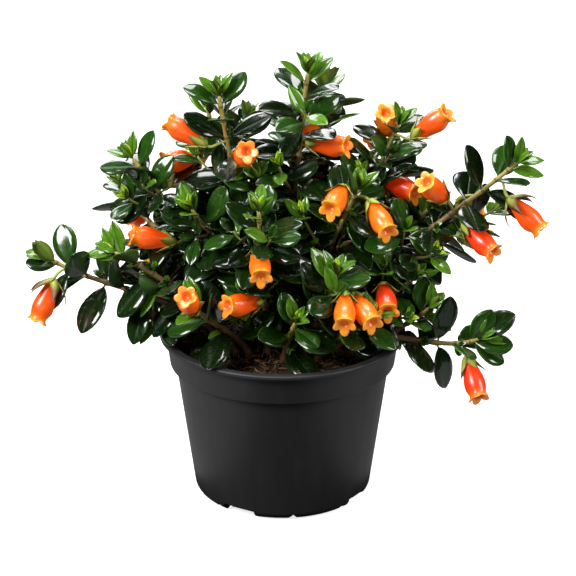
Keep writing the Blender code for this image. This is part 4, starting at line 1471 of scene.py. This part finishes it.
def grow_tufts(own, taken, middles):
    """Small leafy tufts from the leaf joints further down a shoot."""
    draw = random.Random("tufts of " + own.shoot.name)
    for index, rank in enumerate(RANKS):
        share = share_below_tip(own.path, rank.below * MM)
        if rank.below < TUFT_BELOW or share < own.shoot.bare * TUFT_FROM:
            continue
        if not inside_crown(bezier(own.path, share)[0]):
            continue
        for side in (0.0, 180.0):
            if draw.random() > TUFT_CHANCE:
                continue
            bearing = pair_bearing(own.shoot, index, side) + draw.uniform(-TUFT_TURN, TUFT_TURN)
            length = TUFT_LENGTH * draw.uniform(*TUFT_SIZES)
            twig = side_path(own.path, share, bearing, length)
            grow_leafy_twig(own, taken, middles, twig, TUFT_RANKS, draw)


def grow_fillers(own, taken, middles):
    """Leafy side twigs wherever there is room left inside the crown."""
    draw = random.Random("fillers of " + own.shoot.name)
    count = round((FILL_TO - FILL_FROM) * path_length(own.path) / FILL_GAP)
    for k in range(count):
        share = FILL_FROM + (FILL_TO - FILL_FROM) * (k + draw.random()) / count
        if not inside_crown(bezier(own.path, share)[0]):
            continue
        for _ in range(FILL_TRIES):
            bearing = draw.uniform(0.0, 360.0)
            twig = side_path(own.path, share, bearing, draw.uniform(*FILL_LENGTHS))
            if grow_leafy_twig(own, taken, middles, twig, FILL_RANKS, draw):
                break


def grow_buds(own, path, ranks, turn):
    """The young leaves that crowd right at a tip, each pair a step further round."""
    place, along = bezier(path, 1.0)
    for index, rank in enumerate(ranks):
        pair = about(along, own.shoot.roll + 90.0 + turn * index, level_across(along))
        for side in (1.0, -1.0):
            seat = leaf_seat(place, along, pair * side, rank.lean, own.light)
            own.leaves.append(Leaf(seat, rank.length * MM, rank.below))


def grow_ends(own):
    """The broad leaves that the photo shows at the end of some low shoots."""
    for row in END_LEAVES:
        if row.shoot == own.shoot.name:
            place = bezier(own.path, row.share)[0]
            out = bearing_vector(row.bearing, row.rise)
            seat = seat_at(place + out * LEAF_SEAT, out, own.light)
            own.leaves.append(Leaf(seat, row.length * MM, END_BELOW))


def grow_axils(own, middles):
    """Pairs of small young leaves that start in the angles of the older ones."""
    shoot = own.shoot
    draw = random.Random("axils of " + shoot.name)
    nearest, furthest = AXIL_BELOW
    for index, rank in enumerate(RANKS):
        share = share_below_tip(own.path, rank.below * MM)
        if not nearest < rank.below < furthest or share < shoot.bare * AXIL_FROM:
            continue
        place, along = bezier(own.path, share)
        if hides_bloom(place, middles):
            continue
        for side in (0.0, 180.0):
            if draw.random() > AXIL_CHANCE:
                continue
            out = about(along, pair_bearing(shoot, index, side), level_across(along))
            leave = (along + out).normalized()
            start = place + leave * girth(shoot, share)
            across = leave.orthogonal().normalized()
            for step, small in enumerate(AXIL_RANKS):
                pair = about(leave, 90.0 * step, across)
                for way in (1.0, -1.0):
                    lean = small.lean + draw.uniform(-AXIL_LEAN_SPREAD, AXIL_LEAN_SPREAD)
                    seat = leaf_seat(start, leave, pair * way, lean, own.light)
                    length = small.length * draw.uniform(*TUFT_SIZES) * MM
                    own.leaves.append(Leaf(seat, length, AXIL_TONE))


def grow_plant():
    """All that the dressed plant carries: the solids' own growth, and then what is finer."""
    plants, taken = grow()
    middles = bloom_middles(plants)
    for own in plants.values():
        grow_tufts(own, taken, middles)
    for own in plants.values():
        grow_fillers(own, taken, middles)
    for own in plants.values():
        grow_buds(own, own.path, ROSETTE_RANKS, ROSETTE_TURN)
        grow_ends(own)
        grow_axils(own, middles)
        for twig in own.twigs:
            grow_buds(own, twig, BUD_RANKS, BUD_TURN)
    return plants


def stalk_shape(bloom, flare):
    """A flower's stalk, which bends from its stem to the calyx and widens by a flare."""
    start = bloom.start
    calyx = bloom.seat.translation.copy()
    axis = bloom.seat.to_3x3() @ RIGHT
    span = (calyx - start).length
    leave = ((calyx - start).normalized() + UP * STALK_LIFT).normalized()
    line = start, start + leave * span * STALK_REACH, calyx - axis * span * STALK_ENTRY, calyx
    return thin_stem(line, PEDICEL_GIRTH, PEDICEL_GIRTH * flare)


def heap_plant(plants):
    """Every leaf, flower, sepal, stalk and stem, heaped by the name of its piece."""
    heaps = defaultdict(Heap)
    grown_leaves = [leaf_shape(form) for form in GROWN_FORMS]
    young_leaves = [leaf_shape(form) for form in YOUNG_FORMS]
    petals = petal_shape()
    calyces = {"sepals": calyx_shape(SEPAL_STATIONS), "old_sepals": calyx_shape(OLD_SEPAL_STATIONS)}
    draw = random.Random(SEED)
    for own in plants.values():
        for leaf in own.leaves:
            tone = leaf_tone(leaf.below, draw)
            shapes = young_leaves if tone in YOUNG_TONES else grown_leaves
            heaps["leaves_" + tone].add(draw.choice(shapes), leaf.seat, leaf.length)
        for bloom in own.blooms:
            kind = draw.choice(BACK_KINDS) if at_back(own.shoot) else bloom.row.kind
            heaps["flowers_" + kind].add(petals, bloom.seat)
            age = "old_sepals" if bloom.row.old else "sepals"
            for sepal in calyces[age]:
                heaps[age].add(sepal, bloom.seat)
            heaps["flower_stalks"].add(stalk_shape(bloom, 1.5))
        heaps["stems"].add(shoot_stem(own.shoot, own.path))
        for twig in own.twigs:
            heaps["twigs"].add(thin_stem(twig, TWIG_GIRTH * 1.1, TWIG_GIRTH * 0.7))
        for twig in own.tufts:
            heaps["twigs"].add(thin_stem(twig, TUFT_GIRTH * 1.5, TUFT_GIRTH))
    for row in SPENT_FLOWERS:
        spent = bloom_at(plants[row.shoot].path, row)
        for sepal in calyces["old_sepals"]:
            heaps["old_sepals"].add(sepal, spent.seat, SPENT_SIZE)
        heaps["flower_stalks"].add(stalk_shape(spent, 1.0))
    return heaps


def dress_plant():
    """One piece for each kind of leaf, flower, sepal, stalk and stem."""
    heaps = heap_plant(grow_plant())
    limbs = [("bough_" if shoot.parent else "stem_") + shoot.name for shoot in SHOOTS]
    masses = ["foliage_" + shoot.name for shoot in SHOOTS]
    for tone, look in LEAF_LOOKS.items():
        slot = "young_leaf" if tone in YOUNG_TONES else "leaf_green"
        skin = leaf_finish("leaf_skin_" + tone, look)
        heaps["leaves_" + tone].piece("leaves_" + tone, skin, slot, masses)
    for kind, look in PETAL_LOOKS.items():
        skin = petal_finish("petal_skin_" + kind, look)
        heaps["flowers_" + kind].piece("flowers_" + kind, skin, "flower_orange", masses)
    for name, skin, slot, nodes in (
        ("sepals", calyx_finish("calyx_skin", SEPAL_BROWNED), "calyx_green", masses),
        ("old_sepals", calyx_finish("old_calyx_skin", OLD_SEPAL_BROWNED), "calyx_green", masses),
        ("flower_stalks", stalk_finish(), "young_leaf", masses),
        ("stems", bark_finish("stem_skin", STEM_LOOK), "stem_bark", limbs + masses),
        ("twigs", bark_finish("twig_skin", TWIG_LOOK), "stem_bark", masses),
    ):
        heaps[name].piece(name, skin, slot, nodes)


def deselect():
    """Leaves edit mode, and leaves nothing selected."""
    if bpy.context.object is not None and bpy.context.object.mode != "OBJECT":
        bpy.ops.object.mode_set(mode="OBJECT")
    bpy.ops.object.select_all(action="DESELECT")


def apply_modifier(piece, kind, **settings):
    """Adds a modifier with its settings, and applies it."""
    modifier = piece.modifiers.new(kind.title(), kind)
    for key, value in settings.items():
        setattr(modifier, key, value)
    bpy.context.view_layer.objects.active = piece
    bpy.ops.object.modifier_apply(modifier=modifier.name)


def turned(name, profile, sides):
    """A closed round piece: a disc whose edge is extruded ring by ring along the profile."""
    deselect()
    radius, height = profile[0]
    bpy.ops.mesh.primitive_circle_add(vertices=sides, radius=radius, location=(0.0, 0.0, height))
    piece = bpy.context.object
    piece.name = piece.data.name = name
    bpy.ops.object.transform_apply(location=True, rotation=True, scale=True)
    bpy.ops.object.mode_set(mode="EDIT")
    bpy.ops.mesh.select_all(action="SELECT")
    bpy.ops.mesh.extrude_edges_move()
    bpy.ops.mesh.merge(type="CENTER")
    shape = bmesh.from_edit_mesh(piece.data)
    for corner in shape.verts:
        corner.select = corner.co.xy.length > radius / 2.0
    shape.select_flush_mode()
    bmesh.update_edit_mesh(piece.data)
    for (before, low), (after, high) in zip(profile, profile[1:]):
        bpy.ops.mesh.extrude_edges_move()
        bpy.ops.transform.translate(value=(0.0, 0.0, high - low))
        bpy.ops.transform.resize(value=(after / before, after / before, 1.0))
    bpy.ops.mesh.extrude_edges_move()
    bpy.ops.mesh.merge(type="CENTER")
    bpy.ops.mesh.select_all(action="SELECT")
    bpy.ops.mesh.normals_make_consistent(inside=False)
    bpy.ops.object.mode_set(mode="OBJECT")
    return piece


def wall_inside(height):
    """The radius of the pot's inner wall at a height between its foot and its collar."""
    share = (height - FOOT_ROUNDING) / (POT_HEIGHT - COLLAR_HEIGHT - FOOT_ROUNDING)
    return WALL_FOOT_RADIUS + (WALL_TOP_RADIUS - WALL_FOOT_RADIUS) * share - WALL


def foot_curve():
    """The pot's rounded foot corner, wall side first."""
    points = []
    for step in range(FOOT_STEPS + 1):
        angle = math.radians(90.0 * step / FOOT_STEPS)
        edge = WALL_FOOT_RADIUS + (FOOT_RADIUS - WALL_FOOT_RADIUS) * step / FOOT_STEPS
        radius = edge - FOOT_ROUNDING + FOOT_ROUNDING * math.cos(angle)
        points.append((radius, FOOT_ROUNDING * (1.0 - math.sin(angle))))
    return points


def pot_profile():
    """The pot's section from its inner floor up over the rolled lip and down to the foot."""
    step = POT_HEIGHT - COLLAR_HEIGHT
    mouth = COLLAR_TOP_RADIUS - WALL
    profile = [
        (WALL_FOOT_RADIUS - FOOT_ROUNDING, FLOOR),
        (wall_inside(FLOOR * 2.0), FLOOR * 2.0),
        (wall_inside(step), step),
        (COLLAR_FOOT_RADIUS - WALL, step + WALL),
        (mouth, POT_HEIGHT - LIP_THICKNESS),
        (mouth + MOUTH_FLARE, POT_HEIGHT),
        (LIP_RADIUS, POT_HEIGHT),
        (LIP_RADIUS, POT_HEIGHT - LIP_THICKNESS),
        (COLLAR_TOP_RADIUS + 0.4 * MM, POT_HEIGHT - LIP_THICKNESS - COLLAR_FALL),
        (COLLAR_FOOT_RADIUS, step + 0.3 * MM),
        (WALL_TOP_RADIUS, step - COLLAR_FALL),
    ]
    return profile + foot_curve()


def cut_foot(pot, angle, width, height, square):
    """Cuts one notch into the foot's edge, square or pointed at its top."""
    deselect()
    quarter = (0.0, math.pi / 2.0, 0.0)
    bpy.ops.mesh.primitive_cylinder_add(vertices=4, radius=1.0, depth=2.0, rotation=quarter)
    cutter = bpy.context.object
    bpy.ops.object.transform_apply(location=True, rotation=True, scale=True)
    if square:
        cutter.data.transform(Matrix.Rotation(math.pi / 4.0, 4, "X"))
        cutter.data.transform(Matrix.Diagonal((1.0, math.sqrt(2.0), math.sqrt(2.0), 1.0)))
    cutter.data.transform(Matrix.Diagonal((NOTCH_DEPTH, width / 2.0, height, 1.0)))
    place = Matrix.Rotation(angle, 4, "Z") @ Matrix.Translation((FOOT_RADIUS, 0.0, 0.0))
    cutter.data.transform(place)
    apply_modifier(pot, "BOOLEAN", operation="DIFFERENCE", object=cutter, solver="EXACT")
    bpy.data.objects.remove(cutter, do_unlink=True)


def make_pot():
    """The nursery pot, with the notches in its foot's edge."""
    pot = turned("nursery_pot", pot_profile(), POT_SIDES)
    limit = {"limit_method": "ANGLE", "angle_limit": EDGE_ANGLE}
    apply_modifier(pot, "BEVEL", width=EDGE_ROUNDING, segments=3, **limit)
    for index in range(NOTCHES):
        middle = NOTCH_START + index * 360.0 / NOTCHES
        cut_foot(pot, math.radians(middle), NOTCH_WIDTH, NOTCH_HEIGHT, True)
        for turn in V_NOTCH_TURNS:
            cut_foot(pot, math.radians(middle + turn), V_NOTCH_WIDTH, V_NOTCH_HEIGHT, False)
    deselect()
    pot.select_set(True)
    bpy.context.view_layer.objects.active = pot
    bpy.ops.object.shade_smooth_by_angle(angle=SMOOTH_ANGLE)
    dress(pot, pot_finish(), "pot_plastic", ["pot"])


def soil_height(reach, edge):
    """The height of the soil's even surface, which falls from its flat middle to its edge."""
    slope = max(0.0, reach - SOIL_FLAT_RADIUS) / (edge - SOIL_FLAT_RADIUS)
    return SOIL_TOP - slope * (SOIL_TOP - SOIL_EDGE_TOP)


def soil_place(draw, edge):
    """A place on the soil, picked evenly over its disc."""
    reach = edge * math.sqrt(draw.random())
    turn = draw.uniform(0.0, math.tau)
    height = soil_height(reach, edge) + draw.uniform(-0.3, 0.9) * MM
    return Vector((reach * math.cos(turn), reach * math.sin(turn), height))


def lump_shape(seed):
    """An uneven crumb about one metre across."""
    # A vector of noise is shifted by offsets that are drawn from this seed
    noise.seed_set(SEED)
    body = bmesh.new()
    bmesh.ops.create_icosphere(body, subdivisions=1, radius=0.5)
    for corner in body.verts:
        push = noise.noise_vector(corner.co * 2.0 + RIGHT * seed) * 0.35
        corner.co = Vector((corner.co.x * 1.15, corner.co.y * 0.9, corner.co.z * 0.7)) + push
    body.verts.index_update()
    corners = np.array([tuple(corner.co) for corner in body.verts])
    faces = [tuple(corner.index for corner in face.verts) for face in body.faces]
    body.free()
    return Shape(corners, faces, np.zeros((3 * len(faces), 2)))


def sliver_shape():
    """A bent splinter of bark one metre long, along +X."""
    rows = []
    for share in SLIVER_STATIONS:
        half = SLIVER_HALF * (1.0 - 0.5 * share)
        rise = half * 0.7
        bend = SLIVER_BEND * math.sin(share * math.pi)
        sides = ((half, bend), (0.0, bend + rise), (-half, bend), (0.0, bend - rise))
        rows.append([(share, *side) for side in sides])
    rows = [[rows[0][0]] * 4, *rows, [rows[-1][0]] * 4]
    along = [0.0, *SLIVER_STATIONS, 1.0]
    return welded(lattice(rows, along, [0.0, 0.25, 0.5, 0.75, 1.0], closed=True))


def make_soil():
    """The soil's uneven surface, with loose crumbs and fibres on it."""
    edge = COLLAR_FOOT_RADIUS - WALL - SEAT_GAP
    lower = SOIL_TOP - SOIL_DEPTH
    profile = [(edge * k / SOIL_RINGS, SOIL_TOP) for k in range(1, SOIL_RINGS)]
    profile += [(edge, SOIL_EDGE_TOP), (edge, lower)]
    soil = turned("soil_surface", profile, SOIL_SIDES)
    for corner in soil.data.vertices:
        if corner.co.z > lower + MM:
            rough = noise.fractal(corner.co * SOIL_CLODS, 0.6, 2.0, 4)
            fine = noise.noise(corner.co * SOIL_GRAIN)
            lift = SOIL_RELIEF * (rough + fine * 0.35)
            corner.co.z = soil_height(corner.co.xy.length, edge) + lift
    soil.data.shade_smooth()
    dress(soil, soil_finish("soil_skin", SOIL_LOOK), "potting_soil", ["potting_soil"])
    crumbs, slivers = Heap(), Heap()
    lumps = [lump_shape(seed) for seed in range(CRUMB_KINDS)]
    splinter = sliver_shape()
    draw = random.Random(SEED)
    for _ in range(CRUMBS):
        place = soil_place(draw, edge - CRUMB_EDGE)
        angle = draw.uniform(0.0, math.tau)
        axis = bearing_vector(draw.uniform(0, 360), draw.uniform(-90, 90))
        seat = Matrix.Rotation(angle, 4, axis)
        seat.translation = place
        crumbs.add(draw.choice(lumps), seat, draw.uniform(*CRUMB_SIZES))
    for _ in range(SLIVERS):
        place = soil_place(draw, edge - SLIVER_EDGE) + UP * SLIVER_LIFT
        along = bearing_vector(draw.uniform(0, 360), draw.uniform(*SLIVER_RISE))
        slivers.add(splinter, seat_at(place, along, UP), draw.uniform(*SLIVER_LENGTHS))
    crumb_skin = soil_finish("crumb_skin", CRUMB_LOOK)
    crumbs.piece("soil_crumbs", crumb_skin, "potting_soil", ["potting_soil"])
    fibre_skin = soil_finish("fibre_skin", FIBRE_LOOK)
    slivers.piece("soil_fibres", fibre_skin, "potting_soil", ["potting_soil"])


def area_light(name, place, target, size, power):
    """A rectangular soft light that faces its target."""
    bpy.ops.object.light_add(type="AREA", location=place)
    light = bpy.context.object
    light.name = name
    light.data.shape = "RECTANGLE"
    light.data.size, light.data.size_y = size
    light.data.energy = power
    light.rotation_euler = (Vector(target) - Vector(place)).to_track_quat("-Z", "Y").to_euler()
    return light


def light_studio():
    """A white studio: a pale floor and surround, and soft boxes over the plant."""
    white = (1.0, 1.0, 1.0, 1.0)
    deselect()
    bpy.ops.mesh.primitive_plane_add(size=FLOOR_SIZE)
    floor = bpy.context.object
    floor.name = "studio_floor"
    glow = {"emission_color": white, "emission_strength": FLOOR_GLOW}
    skin = Finish("floor_skin", base_color=(0.5, 0.5, 0.5, 1.0), roughness=0.9, **glow)
    floor.data.materials.append(skin.material)
    floor.visible_diffuse = floor.visible_glossy = False
    world = bpy.data.worlds.new("studio")
    world.use_nodes = True
    tree = world.node_tree
    seen = tree.nodes.new("ShaderNodeLightPath")
    surround = tree.nodes["Background"]
    surround.inputs["Color"].default_value = white
    surround.inputs["Strength"].default_value = SURROUND
    backdrop = tree.nodes.new("ShaderNodeBackground")
    backdrop.inputs["Color"].default_value = white
    blend = tree.nodes.new("ShaderNodeMixShader")
    tree.links.new(seen.outputs["Is Camera Ray"], blend.inputs[0])
    tree.links.new(surround.outputs[0], blend.inputs[1])
    tree.links.new(backdrop.outputs[0], blend.inputs[2])
    tree.links.new(blend.outputs[0], tree.nodes["World Output"].inputs[0])
    bpy.context.scene.world = world
    for name, place, size, power in BOXES:
        area_light(name, place, STUDIO_MIDDLE, size, power)
    for name, place, size, power in CARDS:
        card = area_light(name, place, Vector(place) + UP, size, power)
        card.visible_camera = False


def place_camera():
    """The camera that took the photograph, fitted to the pot's rim, collar and foot."""
    lens = bpy.data.cameras.new("photo_camera")
    lens.lens = CAMERA_LENS
    lens.sensor_width = CAMERA_SENSOR
    lens.clip_start = CAMERA_CLIP
    camera = bpy.data.objects.new("photo_camera", lens)
    camera.location = CAMERA_PLACE
    camera.rotation_euler = (math.radians(90.0 - CAMERA_PITCH), 0.0, 0.0)
    bpy.context.scene.collection.objects.link(camera)
    bpy.context.scene.camera = camera
    bpy.context.scene.view_settings.view_transform = "Standard"


def main():
    """The whole scene."""
    deselect()
    place_camera()
    light_studio()
    make_pot()
    make_soil()
    dress_plant()


main()
